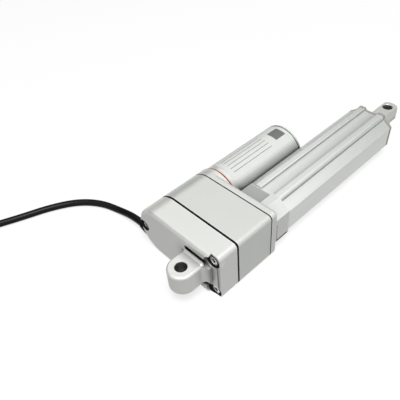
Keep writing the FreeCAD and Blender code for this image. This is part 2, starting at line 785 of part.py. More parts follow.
def make_screws():
    right_tip = plate_front - size("wall") / 2
    head_depth = size("cover_screw_head_depth")
    step_start = screw_face + size("step_pocket_depth") - head_depth
    motor_start = rear_face + size("pocket_depth") - head_depth
    cover_screws = [
        screw(f"cover_screw_{n}", start, head_depth, size("cover_screw_head"), size("cover_screw_shank"),
              right_tip, y, z)
        for n, (start, (y, z)) in enumerate(
            zip((step_start, step_start, motor_start), cover_screw_places), start=1)
    ]
    head, shank, depth = size("small_head"), size("small_shank"), size("small_head_depth")
    tube_tip = collar_front + size("tube_screw_bite")
    tube_screws = [
        screw(f"tube_screw_{n}", plate_rear, depth, head, shank, tube_tip, y, z)
        for n, (y, z) in enumerate(port_places, start=1)
    ]
    cap_tip = tube_front - size("tube_screw_bite")
    cap_screws = [
        screw(f"end_cap_screw_{n}", cap_front + depth, depth, head, shank, cap_tip, y, z, forward=False)
        for n, (y, z) in enumerate(port_places, start=1)
    ]
    motor_tip = plate_front + size("can_wall")
    offset = size("motor_screw_offset")
    motor_screws = [
        screw(f"motor_screw_{n}", plate_rear, depth, head, shank, motor_tip, motor_y, offset * s)
        for n, s in enumerate((1, -1), start=1)
    ]
    return [
        group("cover_screws", cover_screws), group("tube_screws", tube_screws),
        group("end_cap_screws", cap_screws), group("motor_screws", motor_screws),
    ]


def gear_prism(teeth, start, width, turn_degrees):
    """A spur gear about the X axis with involute flanks, its first tooth turned about X from +Y."""
    pitch = module.value * teeth / 2
    angle = math.radians(size("pressure_angle").value)
    base = pitch * math.cos(angle)
    tip = pitch + module.value * size("addendum_share").value
    root = pitch - module.value * size("dedendum_share").value
    half_tooth = math.pi / (2 * teeth) - size("gear_backlash").value / (2 * pitch)
    at_base = half_tooth + math.tan(angle) - angle

    def flank(radius):
        ratio = max(radius / base, 1.0)
        roll = math.sqrt(ratio * ratio - 1)
        return at_base - (roll - math.atan(roll))

    def point(radius, around):
        return Vector(start, radius * math.cos(around), radius * math.sin(around))

    def arc(radius, first, last):
        middle = (first + last) / 2
        return Part.Arc(point(radius, first), point(radius, middle), point(radius, last)).toShape()

    low = max(root, base)
    radii = [low + (tip - low) * step / 4 for step in range(5)]
    edges = []
    for tooth in range(teeth):
        centre = math.radians(turn_degrees) + 2 * math.pi * tooth / teeth
        rising = [point(r, centre - flank(r)) for r in radii]
        falling = [point(r, centre + flank(r)) for r in reversed(radii)]
        foot_in = point(root, centre - flank(low))
        foot_out = point(root, centre + flank(low))
        if low > root + TOLERANCE:
            edges.append(Part.LineSegment(foot_in, rising[0]).toShape())
        for points in (rising, falling):
            curve = Part.BSplineCurve()
            curve.interpolate(points)
            edges.append(curve.toShape())
            if points is rising:
                edges.append(arc(tip, centre - flank(tip), centre + flank(tip)))
        if low > root + TOLERANCE:
            edges.append(Part.LineSegment(falling[-1], foot_out).toShape())
        following = centre + 2 * math.pi / teeth
        edges.append(arc(root, centre + flank(low), following - flank(low)))
    face = Part.Face(Part.Wire(edges))
    return face.extrude(Vector(width, 0, 0))


def x_cylinder(diameter, start, end):
    return Part.makeCylinder(diameter / 2, end - start, Vector(start, 0, 0), Vector(1, 0, 0))


def feature(label, shape, across=0.0):
    """A piece whose shape is worked out here, set on an axis along X."""
    thing = doc.addObject("Part::Feature", label)
    thing.Label = label
    thing.Shape = shape
    thing.Placement = Placement(Vector(0, across, 0), Rotation())
    return thing


def make_gears():
    pinion_teeth, wheel_teeth, output_teeth = (
        int(size(name).value) for name in ("pinion_teeth", "wheel_teeth", "output_teeth")
    )
    half_step = 180.0 / pinion_teeth
    gap, fit = size("side_gap").value, size("fit_gap").value
    # the output gear has a tooth at +Y, and each pinion a gap at -Y to take the tooth that faces it
    output = gear_prism(output_teeth, output_rear.value, size("output_gear_width").value, 0.0)
    output = output.fuse(x_cylinder(size("output_hub").value, output_front.value, hub_front.value))
    output = output.cut(x_cylinder(size("screw_journal").value + 2 * fit, output_rear.value, hub_front.value))
    pin_x = (output_front.value + hub_front.value) / 2
    pin_half = size("output_hub").value / 2
    pin_start, pin_radius = Vector(pin_x, 0, -pin_half), size("gear_pin").value / 2
    output = output.cut(Part.makeCylinder(pin_radius + fit, 2 * pin_half, pin_start))
    facing = 180.0 if pinion_teeth % 2 else 180.0 + half_step
    idler_rear, idler_front = cover_front.value + gap, plate_rear.value - gap
    pinion = gear_prism(pinion_teeth, idler_rear, hub_front.value - idler_rear, facing)
    wheel = gear_prism(wheel_teeth, wheel_rear.value, size("wheel_width").value, 0.0)
    idler = pinion.fuse(wheel).fuse(x_cylinder(size("idler_boss").value, hub_front.value, idler_front))
    bore = size("idler_pin").value + 2 * size("running_gap").value
    idler = idler.cut(x_cylinder(bore, idler_rear, idler_front))
    gear_rear, gear_front = wheel_rear.value - gap, wheel_front.value + gap
    motor_gear = gear_prism(pinion_teeth, gear_rear, gear_front - gear_rear, facing)
    shaft = size("motor_shaft").value + 2 * fit
    motor_gear = motor_gear.cut(x_cylinder(shaft, gear_rear, gear_front))
    cross_pin = Part.makeCylinder(pin_radius, 2 * pin_half, pin_start)
    return [
        feature("output_gear", output.removeSplitter()),
        feature("gear_pin", cross_pin),
        feature("intermediate_gear", idler.removeSplitter(), idler_y.value),
        feature("motor_pinion", motor_gear.removeSplitter(), motor_y.value),
    ]


def make_screw_line():
    journal, thread, tip = size("screw_journal") / 2, size("screw_thread") / 2, size("screw_tip") / 2
    lead_screw = turned("lead_screw", [
        (bush_rear, 0), (bush_rear, journal), (bearing_front, journal), (bearing_front, thread),
        (screw_bush_rear, thread), (screw_bush_rear, tip), (screw_front, tip), (screw_front, 0),
    ])
    pin_x = (output_front + hub_front) / 2
    pin = lead_screw.profile("XY", 0).circle(size("gear_pin") + size("fit_gap") * 2, pin_x)
    lead_screw.pocket(pin, size("screw_thread"), middle=True)
    bush_in = size("screw_journal") / 2 + size("running_gap")
    bush_out, flange = size("rear_bush") / 2, size("bush_flange") / 2
    rear_bush = turned("rear_bush", [
        (bush_rear, bush_in), (bush_rear, bush_out), (cover_front, bush_out), (cover_front, flange),
        (bush_face, flange), (bush_face, bush_in),
    ])
    snug = size("screw_journal") + size("fit_gap") * 2
    spacer = ring("spacer_sleeve", hub_front, plate_rear - hub_front, snug, size("spacer"))
    ring_width = size("bearing_ring") * 2
    inner_race = ring("bearing_inner_race", plate_rear, size("bearing_width"), snug, snug + ring_width)
    outer = size("bearing_bore")
    outer_race = ring("bearing_outer_race", plate_rear, size("bearing_width"), outer - ring_width, outer)
    end_bush = ring(
        "screw_end_bush", screw_bush_rear, size("screw_bush_length"),
        size("screw_tip") + size("fit_gap") * 2, size("rod_bore") - size("running_gap") * 2,
    )
    balls = make_bearing_balls(outer, ring_width, snug)
    return [lead_screw, rear_bush, spacer, inner_race, outer_race, end_bush, balls]


def make_bearing_balls(outer, ring_width, snug):
    pitch = (outer + snug) / 4
    room = (outer - snug - ring_width * 2) / 2
    balls = []
    count = int(size("bearing_balls").value)
    for n in range(count):
        ball = doc.addObject("Part::Sphere", f"bearing_ball_{n + 1}")
        around = 360.0 * n / count
        bind(
            ball, Radius=room / 2 - size("fit_gap"),
            Placement__Base__x=plate_rear + size("bearing_width") / 2,
            Placement__Base__y=pitch * math.cos(math.radians(around)),
            Placement__Base__z=pitch * math.sin(math.radians(around)),
        )
        balls.append(ball)
    return group("bearing_balls", balls)


def make_rod_line():
    rod_in, rod_out = size("rod_bore") / 2, size("rod") / 2
    rod = turned("inner_rod", [
        (nut_front, rod_in), (nut_front, rod_out), (rod_front, rod_out), (rod_front, rod_in),
    ])
    stub_rear = screw_front + size("stop_gap")
    pin_x = (stub_rear + rod_front) / 2
    pin_width = size("rod_pin") + size("fit_gap") * 2
    rod.pocket(rod.profile("XY", 0).circle(pin_width, pin_x), size("rod"), middle=True)
    bore = size("screw_thread") / 2 + size("running_gap")
    spigot = rod_in - size("fit_gap")
    flange = size("tube_bore") / 2 - size("slide_gap")
    nut = turned("drive_nut", [
        (nut_rear, bore), (nut_rear, flange), (nut_front, flange),
        (nut_front, spigot), (spigot_front, spigot), (spigot_front, bore),
    ])
    # a guide key on the right and the tab that works the switches on the motor side
    key_half = size("key_slot_width") / 2 - size("slide_gap")
    key_reach = size("key_slot_reach") - size("slide_gap")
    key = nut.profile("YZ", nut_rear).rectangle(-key_reach, -(flange - size("wall")), -key_half, key_half)
    nut.pad(key, size("nut_flange"))
    tab_reach = key_reach - size("strip_thickness")
    tab = nut.profile("YZ", nut_front - size("nut_tab_length"))
    nut.pad(tab.rectangle(flange - size("wall"), tab_reach, -key_half, key_half), size("nut_tab_length"))
    bush = ring(
        "rod_guide_bush", guide_rear, size("guide_length"),
        size("rod") + size("running_gap") * 2, size("tube_bore") - size("fit_gap") * 2,
    )
    groove = size("end_cap_depth") - size("end_cap_lip")
    wiper = ring("rod_wiper", tube_front, groove, size("rod") + size("running_gap") * 2, size("wiper"))
    pin = doc.addObject("Part::Cylinder", "rod_end_pin")
    bind(
        pin, Radius=size("rod_pin") / 2, Height=size("rod") - size("slide_gap") * 2,
        Placement__Base__x=pin_x, Placement__Base__z=-(size("rod") / 2 - size("slide_gap")),
    )
    return [rod, nut, bush, wiper, pin, make_rod_end(stub_rear, pin_x, pin_width)]


def make_rod_end(stub_rear, pin_x, pin_width):
    """A round bar with two flats, rounded off about the eye, with a stub for the rod's bore."""
    outline = Piece("rod_end_outline")
    half = size("eye_width") / 2
    flat = half - size("eye_flat")
    tongue = outline.profile("XY", 0).tongue(rod_front, rod_eye, half)
    outline.pad(tongue, flat * 2, middle=True)
    bar = doc.addObject("Part::Cylinder", "rod_end_bar")
    bar.Placement = Placement(Vector(), X_AXIS)
    bind(bar, Radius=half, Height=size("eye_reach") + size("rod"), Placement__Base__x=rod_front)
    eye = doc.addObject("Part::Common", "rod_end_eye")
    eye.Base = outline.body
    eye.Tool = bar
    stub = doc.addObject("Part::Cylinder", "rod_end_stub")
    stub.Placement = Placement(Vector(), X_AXIS)
    stub_radius = size("rod_bore") / 2 - size("fit_gap")
    bind(stub, Radius=stub_radius, Height=rod_front - stub_rear, Placement__Base__x=stub_rear)
    joined = doc.addObject("Part::Fuse", "rod_end_joined")
    joined.Base = eye
    joined.Tool = stub
    drills = []
    for name, width, place in (("eye", size("eye_bore"), rod_eye), ("pin", pin_width, pin_x)):
        drill = doc.addObject("Part::Cylinder", f"rod_end_{name}_drill")
        bind(drill, Radius=width / 2, Height=half * 2, Placement__Base__x=place, Placement__Base__z=-half)
        drills.append(drill)
    tools = doc.addObject("Part::MultiFuse", "rod_end_drills")
    tools.Shapes = drills
    drilled = doc.addObject("Part::Cut", "rod_end_drilled")
    drilled.Base = joined
    drilled.Tool = tools
    doc.recompute()
    # the rims of the two flats, rounded outside and bevelled round the eye
    rod_end = Piece("rod_end")
    rod_end.body.BaseFeature = drilled
    doc.recompute()
    bore = size("eye_bore").value / 2
    for side in (flat, -flat):
        outside = lies_at("z", side, lambda c: math.hypot(c.x - rod_eye.value, c.y) > bore + NEAR)
        rod_end.dress("Fillet", outside, Radius=size("eye_edge"))
        rim = lies_at("z", side, lambda c: math.hypot(c.x - rod_eye.value, c.y) < bore + NEAR)
        rod_end.dress("Chamfer", rim, Size=size("eye_bevel"))
    return rod_end


def x_box(name, x, y, z, length, width, height):
    box = doc.addObject("Part::Box", name)
    bind(
        box, Length=length, Width=width, Height=height,
        Placement__Base__x=x, Placement__Base__y=y, Placement__Base__z=z,
    )
    return box


def make_switches():
    half = size("key_slot_width") / 2 - size("slide_gap")
    strip_y = size("key_slot_reach") - size("strip_thickness")
    length = tube_front - collar_front - size("side_gap") * 2
    strip_rear, strip_thickness = collar_front + size("side_gap"), size("strip_thickness")
    strip = x_box("switch_strip", strip_rear, strip_y, -half, length, strip_thickness, half * 2)
    low_y = size("tube_bore") / 2 + size("slide_gap")
    depth = strip_y - low_y
    reach = size("switch_plunger")
    tab_rear = nut_front - size("nut_tab_length") - size("side_gap")
    tab_front = nut_front + size("stroke") + size("side_gap")
    switches = []
    for name, body_x, plunger_x in (
        ("rear", tab_rear - reach - size("switch_length"), tab_rear - reach),
        ("front", tab_front + reach, tab_front),
    ):
        case = x_box(
            f"{name}_switch_case", body_x, low_y, -half, size("switch_length"), depth, half * 2
        )
        plunger = x_box(
            f"{name}_switch_plunger", plunger_x, low_y + depth / 3, -half / 3, reach, depth / 3, half / 1.5
        )
        switch = doc.addObject("Part::Fuse", f"{name}_switch")
        switch.Base = case
        switch.Tool = plunger
        switches.append(switch)
    return [strip, group("limit_switches", switches)]


def make_motor():
    can_out, can_in = size("can") / 2, size("can") / 2 - size("can_wall")
    nose, bush_out = size("motor_nose") / 2, size("motor_bush") / 2 + size("fit_gap")
    nose_rear = plate_front - size("motor_nose_depth")
    inside = plate_front + size("can_wall")
    bush_front = nose_rear + size("motor_bush_length")
    can_front = plate_front + size("can_length")
    can = turned("motor_can", [
        (nose_rear, bush_out), (nose_rear, nose), (plate_front, nose), (plate_front, can_out),
        (can_front, can_out), (can_front, can_in), (inside, can_in), (inside, nose),
        (bush_front, nose), (bush_front, bush_out),
    ], motor_y)
    places = [(motor_y, size("motor_screw_offset")), (motor_y, -size("motor_screw_offset"))]
    holes(can, plate_front, size("can_wall"), small_hole, places)
    seal_thickness = size("motor_end_seal_thickness")
    seal_front = can_front + seal_thickness
    seal_width = size("can") - size("gasket_inset") * 2
    end_seal = ring("motor_end_seal", can_front, seal_thickness, can_in * 2, seal_width, motor_y)
    spigot_rear = can_front - size("motor_bush_length")
    spigot = can_in - size("fit_gap")
    skirt = spigot - size("can_wall")
    end_front = seal_front + size("motor_end_depth")
    end_cap = turned("motor_end_cap", [
        (spigot_rear, bush_out), (spigot_rear, nose), (can_front, nose), (can_front, skirt),
        (spigot_rear, skirt), (spigot_rear, spigot), (seal_front, spigot), (seal_front, can_out),
        (end_front, can_out), (end_front, 0), (can_front, 0), (can_front, bush_out),
    ], motor_y)
    end_cap.dress("Fillet", lies_at("x", end_front), Radius=size("motor_end_round"))
    seal_in = size("can") + size("fit_gap") * 2
    seal_out = size("can") + size("base_seal_width") * 2
    base_seal = ring("motor_base_seal", motor_seat, size("base_seal_thickness"), seal_in, seal_out, motor_y)
    shaft = size("motor_shaft")
    running = shaft + size("running_gap") * 2
    bush, bush_length = size("motor_bush"), size("motor_bush_length")
    front_bush = ring("motor_front_bush", nose_rear, bush_length, running, bush, motor_y)
    rear_bush = ring("motor_rear_bush", spigot_rear, bush_length, running, bush, motor_y)
    shaft_rear = wheel_rear - size("side_gap")
    shaft_front = can_front - size("side_gap")
    motor_shaft = ring("motor_shaft", shaft_rear, shaft_front - shaft_rear, 0, shaft, motor_y)
    outside = [can, end_seal, end_cap, base_seal]
    return outside + [front_bush, rear_bush, motor_shaft] + make_motor_inside(can_in, spigot_rear)


def make_motor_inside(can_in, spigot_rear):
    snug = size("motor_shaft") + size("fit_gap") * 2
    # from the end cap's spigot back to the windings, and from the can inward to the core
    commutator_rear = spigot_rear - size("brush_room") - size("commutator_length")
    core_rear = plate_front + size("core_rear_gap")
    core_front = commutator_rear - size("coil_end") - size("side_gap")
    core_length = core_front - core_rear
    magnet_out = can_in - size("fit_gap")
    magnet_in = magnet_out - size("magnet_thickness")
    magnet_length = core_length + size("magnet_overhang") * 2
    outside = magnet_in - size("air_gap")
    core = Piece("armature_core")
    profile = core.profile("YZ", core_rear).circle(outside * 2, 0)
    profile.shift(motor_y)
    core.pad(profile, core_length)
    hole = core.profile("YZ", core_rear).circle(snug, 0)
    hole.shift(motor_y)
    core.pocket(hole, core_length)
    slot = core.profile("YZ", core_rear)
    slot_half = size("core_slot_width") / 2
    slot.rectangle(outside - size("core_slot_depth"), outside + size("wall"), -slot_half, slot_half)
    slot.shift(motor_y)
    core.pocket(slot, core_length)
    core.repeat("N_Axis", size("core_slots"))
    windings = []
    coil = size("coil_end") / 2
    for name, place in (("rear", core_rear - coil), ("front", core_front + coil)):
        torus = doc.addObject("Part::Torus", f"{name}_winding")
        torus.Placement = Placement(Vector(), X_AXIS)
        bind(
            torus, Radius1=outside - size("coil_end") / 2 - size("side_gap"), Radius2=coil,
            Placement__Base__x=place, Placement__Base__y=motor_y,
        )
        windings.append(torus)
    commutator = ring(
        "commutator", commutator_rear, size("commutator_length"), snug, size("commutator"), motor_y
    )
    holder_rear = commutator_rear + size("commutator_length") - size("side_gap")
    holder = ring(
        "brush_holder", holder_rear, size("brush_holder_depth"), size("commutator") + size("wall") * 2,
        can_in * 2 - size("fit_gap") * 2, motor_y,
    )
    brush, start = size("brush"), size("commutator") / 2 + size("running_gap")
    brush_length = can_in - start - size("side_gap")
    brush_x, brush_y = holder_rear - brush, motor_y - brush / 2
    brushes = [
        x_box(f"{name}_brush", brush_x, brush_y, low, brush, brush, brush_length)
        for name, low in (("upper", start), ("lower", -(start + brush_length)))
    ]
    magnets = []
    magnet_rear = core_rear - size("magnet_overhang")
    for name, side in (("upper", 90.0), ("lower", -90.0)):
        parts = []
        for face, radius in (("outer", magnet_out), ("inner", magnet_in)):
            sector = doc.addObject("Part::Cylinder", f"{name}_magnet_{face}")
            first = side - size("magnet_angle").value / 2 + 90.0
            sector.Placement = Placement(Vector(), Rotation(Vector(1, 0, 0), first) * X_AXIS)
            bind(
                sector, Radius=radius, Height=magnet_length, Angle=size("magnet_angle"),
                Placement__Base__x=magnet_rear, Placement__Base__y=motor_y,
            )
            parts.append(sector)
        magnet = doc.addObject("Part::Cut", f"{name}_magnet")
        magnet.Base, magnet.Tool = parts
        magnets.append(magnet)
    return [
        core, commutator, holder, group("armature_windings", windings), group("brushes", brushes),
        group("motor_magnets", magnets),
    ]


# the cable's route, chosen by hand: bends back from the gland's tip and aside from it, then along the coil
FLOOR = -half_height.value
LAID = FLOOR + size("cable").value / 2
STRAIGHT_RUN = 11.0
BENDS = [
    (-2.4, 27.0), (-7.6, 46.0), (-19.0, 63.0), (-38.0, 75.5), (-57.0, 83.0), (-78.0, 91.6), (-99.0, 98.5),
]
COIL_ENTRY = (-11.0, -27.8)
# the free end, from the coil's middle: it leaves the coil's rear side and lies on the floor
END_BENDS = [(-30.0, 0.0), (-31.0, 14.0), (-27.5, 27.5), (-20.0, 38.0)]
# how much of the shorter of two runs the bend between them takes up
BEND_SHARE = 0.45
# the leads lie this many of their widths from the cable's middle line
LEAD_OFFSET = 0.6


def cable_route():
    x, y, z = gland_x.value, gland_tip.value, -gland_drop.value
    bends = [(x + back, y + aside, LAID) for back, aside in BENDS]
    entry = (coil_x.value + COIL_ENTRY[0], coil_y.value + COIL_ENTRY[1], LAID)
    return [(x, y, z), (x, y + STRAIGHT_RUN, z), *bends, entry]


def end_route():
    return [(coil_x.value + back, coil_y.value + aside, LAID) for back, aside in END_BENDS]


def tube_along(points, diameter):
    """A round cord along straight runs joined by tangent arcs, each as large as its two runs allow."""
    route = [Vector(*point) for point in points]
    edges, here = [], route[0]
    for before, corner, after in zip(route, route[1:], route[2:]):
        back, ahead = before - corner, after - corner
        turn = math.pi - back.getAngle(ahead)
        tangent = BEND_SHARE * min(back.Length, ahead.Length)
        start = corner + back.normalize() * tangent
        end = corner + ahead.normalize() * tangent
        radius = tangent / math.tan(turn / 2)
        bisector = (back + ahead).normalize()
        middle = corner + bisector * (radius / math.cos(turn / 2) - radius)
        edges.append(Part.LineSegment(here, start).toShape())
        edges.append(Part.Arc(start, middle, end).toShape())
        here = end
    edges.append(Part.LineSegment(here, route[-1]).toShape())
    path = Part.Wire(edges)
    circle = Part.Wire([Part.makeCircle(diameter / 2, route[0], route[1] - route[0])])
    tube = path.makePipeShell([circle], True, False)
    print(f"cord of {path.Length:.1f} mm")
    return tube


def make_cable():
    gland = Piece("cable_gland")
    profile = gland.profile("XY", -gland_drop)
    profile.shift(gland_x)
    thick, thin = size("gland") / 2, size("gland_tip_width") / 2
    profile.polygon([
        (0, gland_inner), (thick, gland_inner), (thick, gland_shoulder), (thin, gland_tip), (0, gland_tip),
    ])
    gland.turn(profile, "V_Axis")
    cable = feature("power_cable", tube_along(cable_route(), size("cable").value))
    end = feature("cable_end", tube_along(end_route(), size("cable").value))
    # one ring of the coil's outer shape, its section as wide and high as the turns
    pile = size("cable") * size("coil_layers")
    inner, outer = size("coil_mean_radius") - pile / 2, size("coil_mean_radius") + pile / 2
    floor = -half_height
    coil = Piece("cable_coil")
    section = coil.profile("XZ", -coil_y)
    section.shift(coil_x)
    section.polygon([(inner, floor), (outer, floor), (outer, floor + pile), (inner, floor + pile)])
    coil.turn(section, "V_Axis")
    coil.dress("Fillet", lambda edge: True, Radius=size("coil_corner"))
    # a flat tie round the coil's far side
    thick = size("tie_thickness")
    tie_x = coil_x - size("tie_width") / 2
    tie_y = coil_y + inner - thick
    outside = x_box("tie_outside", tie_x, tie_y, floor, size("tie_width"), pile + thick * 2, pile + thick)
    inside = x_box("tie_inside", tie_x, tie_y + thick, floor + thick, size("tie_width"), pile, pile - thick)
    tie = doc.addObject("Part::Cut", "cable_tie")
    tie.Base, tie.Tool = outside, inside
    return [gland, cable, end, coil, tie, make_leads()]


def make_leads():
    """Two bare-ended leads, side by side, past the end of the cable's jacket."""
    before, last = (Vector(*point) for point in end_route()[-2:])
    width, length = size("lead").value, size("lead_length").value
    along = (last - before).normalize()
    across = Vector(-along.y, along.x, 0) * (width * LEAD_OFFSET)
    droop = Vector(0, 0, FLOOR + width / 2 - LAID)
    leads = []
    for side in (1, -1):
        start = last + across * side
        leads.append(Part.makeCylinder(width / 2, length, start, along * length + droop))
    return feature("cable_leads", Part.makeCompound(leads))


def build():
    pieces = [
        make_rear_cover(),
        make_gasket("rear_gasket", cover_front, size("rear_gasket_thickness")),
        make_gear_housing(),
        make_gasket("front_gasket", housing_front, size("front_gasket_thickness")),
        make_front_cover(),
        make_outer_tube(),
        make_end_cap(),
    ]
    pieces += make_screws() + make_gears() + make_screw_line() + make_rod_line() + make_switches()
    pieces += make_motor() + make_cable()
    pin = doc.addObject("Part::Cylinder", "idler_pin")
    pin.Placement = Placement(Vector(), X_AXIS)
    pin_end = plate_front - size("wall") / 2
    bind(pin, Radius=size("idler_pin") / 2, Height=pin_end - bush_rear)
    bind(pin, Placement__Base__x=bush_rear, Placement__Base__y=idler_y)
    pieces.append(pin)
    doc.recompute()
    return [piece.body if isinstance(piece, Piece) else piece for piece in pieces]


def check(things):
    """Stops if anything in the document failed, or a piece has no sound shape."""
    for thing in doc.Objects:
        if {"Invalid", "Error"} & set(thing.State):
            raise RuntimeError(f"{thing.Label} failed: {thing.State}")
    for thing in things:
        if thing.Shape.isNull() or not thing.Shape.isValid() or not thing.Shape.Solids:
            raise RuntimeError(f"{thing.Label} has no sound shape")


def write(things):
    os.makedirs("parts", exist_ok=True)
    for thing in things:
        thing.Shape.exportStep(os.path.join("parts", f"{thing.Label}.step"))
        print(f"{thing.Label}: {len(thing.Shape.Solids)} solids, {thing.Shape.Volume:.1f} cubic mm")


nodes = build()
check(nodes)
write(nodes)
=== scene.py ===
"""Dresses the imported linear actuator: finishes, screws, label, seals, cable and a white studio.

Everything is in metres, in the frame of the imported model: the origin is the middle of the rear eye,
+X runs along the lead screw to the rod's eye, +Y points to the motor and +Z is up.
"""
from __future__ import annotations

import json
import logging
import math
from dataclasses import dataclass, field, replace
from enum import Enum
from typing import Any, Callable, ClassVar, Sequence, Union

import bmesh
import bpy
from mathutils import Matrix, Vector, geometry
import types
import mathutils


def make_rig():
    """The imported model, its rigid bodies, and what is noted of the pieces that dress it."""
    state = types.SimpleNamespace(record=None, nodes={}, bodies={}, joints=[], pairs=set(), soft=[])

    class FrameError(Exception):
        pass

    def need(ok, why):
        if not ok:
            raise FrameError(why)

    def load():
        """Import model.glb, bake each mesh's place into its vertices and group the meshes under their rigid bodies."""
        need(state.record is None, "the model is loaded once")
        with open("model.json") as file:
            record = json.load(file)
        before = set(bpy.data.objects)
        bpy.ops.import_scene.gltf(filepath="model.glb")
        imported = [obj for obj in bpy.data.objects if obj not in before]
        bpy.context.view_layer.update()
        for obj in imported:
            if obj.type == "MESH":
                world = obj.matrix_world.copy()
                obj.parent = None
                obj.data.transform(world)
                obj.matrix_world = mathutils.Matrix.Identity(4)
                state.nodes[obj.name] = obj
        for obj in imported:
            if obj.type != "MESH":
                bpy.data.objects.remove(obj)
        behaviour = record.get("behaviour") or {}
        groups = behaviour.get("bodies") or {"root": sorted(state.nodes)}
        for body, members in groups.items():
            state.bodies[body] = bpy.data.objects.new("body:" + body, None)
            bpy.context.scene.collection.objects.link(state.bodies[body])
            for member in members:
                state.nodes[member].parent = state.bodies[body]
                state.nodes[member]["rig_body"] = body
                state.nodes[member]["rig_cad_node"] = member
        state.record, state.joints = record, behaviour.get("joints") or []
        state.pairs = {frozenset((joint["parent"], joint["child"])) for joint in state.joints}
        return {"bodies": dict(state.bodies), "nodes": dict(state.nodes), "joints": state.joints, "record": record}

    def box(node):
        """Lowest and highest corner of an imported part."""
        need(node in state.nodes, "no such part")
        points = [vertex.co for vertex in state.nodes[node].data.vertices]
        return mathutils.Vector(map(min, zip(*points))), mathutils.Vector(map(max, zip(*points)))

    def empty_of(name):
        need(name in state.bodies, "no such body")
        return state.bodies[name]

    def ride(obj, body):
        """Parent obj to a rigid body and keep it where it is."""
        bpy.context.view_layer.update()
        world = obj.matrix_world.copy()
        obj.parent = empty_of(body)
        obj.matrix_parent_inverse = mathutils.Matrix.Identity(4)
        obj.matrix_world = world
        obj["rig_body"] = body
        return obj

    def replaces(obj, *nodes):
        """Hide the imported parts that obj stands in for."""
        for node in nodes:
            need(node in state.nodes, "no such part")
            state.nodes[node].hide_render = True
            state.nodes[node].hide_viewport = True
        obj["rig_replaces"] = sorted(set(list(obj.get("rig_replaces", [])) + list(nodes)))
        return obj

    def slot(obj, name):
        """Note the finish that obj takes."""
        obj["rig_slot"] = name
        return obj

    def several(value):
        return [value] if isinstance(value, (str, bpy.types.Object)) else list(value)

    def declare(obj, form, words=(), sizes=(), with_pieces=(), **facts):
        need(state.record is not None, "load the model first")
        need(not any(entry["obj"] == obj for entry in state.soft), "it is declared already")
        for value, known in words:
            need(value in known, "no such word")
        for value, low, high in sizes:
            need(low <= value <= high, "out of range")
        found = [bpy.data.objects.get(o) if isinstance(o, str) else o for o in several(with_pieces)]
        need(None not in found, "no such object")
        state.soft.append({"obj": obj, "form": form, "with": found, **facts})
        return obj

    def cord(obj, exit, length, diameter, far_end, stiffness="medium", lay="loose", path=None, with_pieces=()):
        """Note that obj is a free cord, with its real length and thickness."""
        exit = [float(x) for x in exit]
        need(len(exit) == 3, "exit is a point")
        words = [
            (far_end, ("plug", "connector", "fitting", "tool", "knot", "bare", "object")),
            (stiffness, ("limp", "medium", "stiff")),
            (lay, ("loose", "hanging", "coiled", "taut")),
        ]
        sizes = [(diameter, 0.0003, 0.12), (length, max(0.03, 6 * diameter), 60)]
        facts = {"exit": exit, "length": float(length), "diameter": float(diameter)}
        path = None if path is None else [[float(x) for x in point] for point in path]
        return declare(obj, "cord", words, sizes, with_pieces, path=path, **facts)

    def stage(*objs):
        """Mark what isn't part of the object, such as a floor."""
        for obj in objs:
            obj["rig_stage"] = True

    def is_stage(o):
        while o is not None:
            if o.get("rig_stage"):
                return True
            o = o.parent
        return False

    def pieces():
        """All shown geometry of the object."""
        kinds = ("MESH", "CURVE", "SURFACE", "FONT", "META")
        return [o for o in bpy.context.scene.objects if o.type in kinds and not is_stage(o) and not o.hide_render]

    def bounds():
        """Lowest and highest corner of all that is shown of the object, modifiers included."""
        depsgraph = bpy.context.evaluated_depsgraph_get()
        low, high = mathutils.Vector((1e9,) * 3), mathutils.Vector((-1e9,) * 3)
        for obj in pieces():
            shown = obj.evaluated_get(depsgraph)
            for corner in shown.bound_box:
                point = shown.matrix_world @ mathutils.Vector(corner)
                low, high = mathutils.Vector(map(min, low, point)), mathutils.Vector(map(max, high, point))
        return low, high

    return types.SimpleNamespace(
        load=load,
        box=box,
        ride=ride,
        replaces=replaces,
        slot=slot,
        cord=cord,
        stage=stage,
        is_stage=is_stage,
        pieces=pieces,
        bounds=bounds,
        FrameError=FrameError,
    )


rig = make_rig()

log = logging.getLogger("actuator")

MM = 0.001
SIZE_FILE = "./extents.json"
HOUSING = "housing"
WHITE = (1.0, 1.0, 1.0, 1.0)

Point = tuple[float, float, float]
Colour = tuple[float, float, float]
Operand = Union["Signal", float]


class Signal:
    """A shader socket that Python sums turn into Math nodes."""

    def __init__(self, shade: "Shade", socket: bpy.types.NodeSocket) -> None:
        """Keeps the socket and the shade that it belongs to."""
        self.shade = shade
        self.socket = socket

    def _sum(self, operation: str, first: Operand, second: Operand) -> "Signal":
        """Adds one Math node on two values and gives its result."""
        return self.shade.node("ShaderNodeMath", {"operation": operation}, {0: first, 1: second})

    def __add__(self, other: Operand) -> "Signal":
        """Adds a value."""
        return self._sum("ADD", self, other)

    def __radd__(self, other: Operand) -> "Signal":
        """Adds to a value."""
        return self._sum("ADD", other, self)

    def __sub__(self, other: Operand) -> "Signal":
        """Takes a value away."""
        return self._sum("SUBTRACT", self, other)

    def __rsub__(self, other: Operand) -> "Signal":
        """Is taken away from a value."""
        return self._sum("SUBTRACT", other, self)

    def __mul__(self, other: Operand) -> "Signal":
        """Multiplies by a value."""
        return self._sum("MULTIPLY", self, other)

    def __rmul__(self, other: Operand) -> "Signal":
        """Multiplies a value."""
        return self._sum("MULTIPLY", other, self)

    def most(self, other: Operand) -> "Signal":
        """Takes the larger of two values."""
        return self._sum("MAXIMUM", self, other)


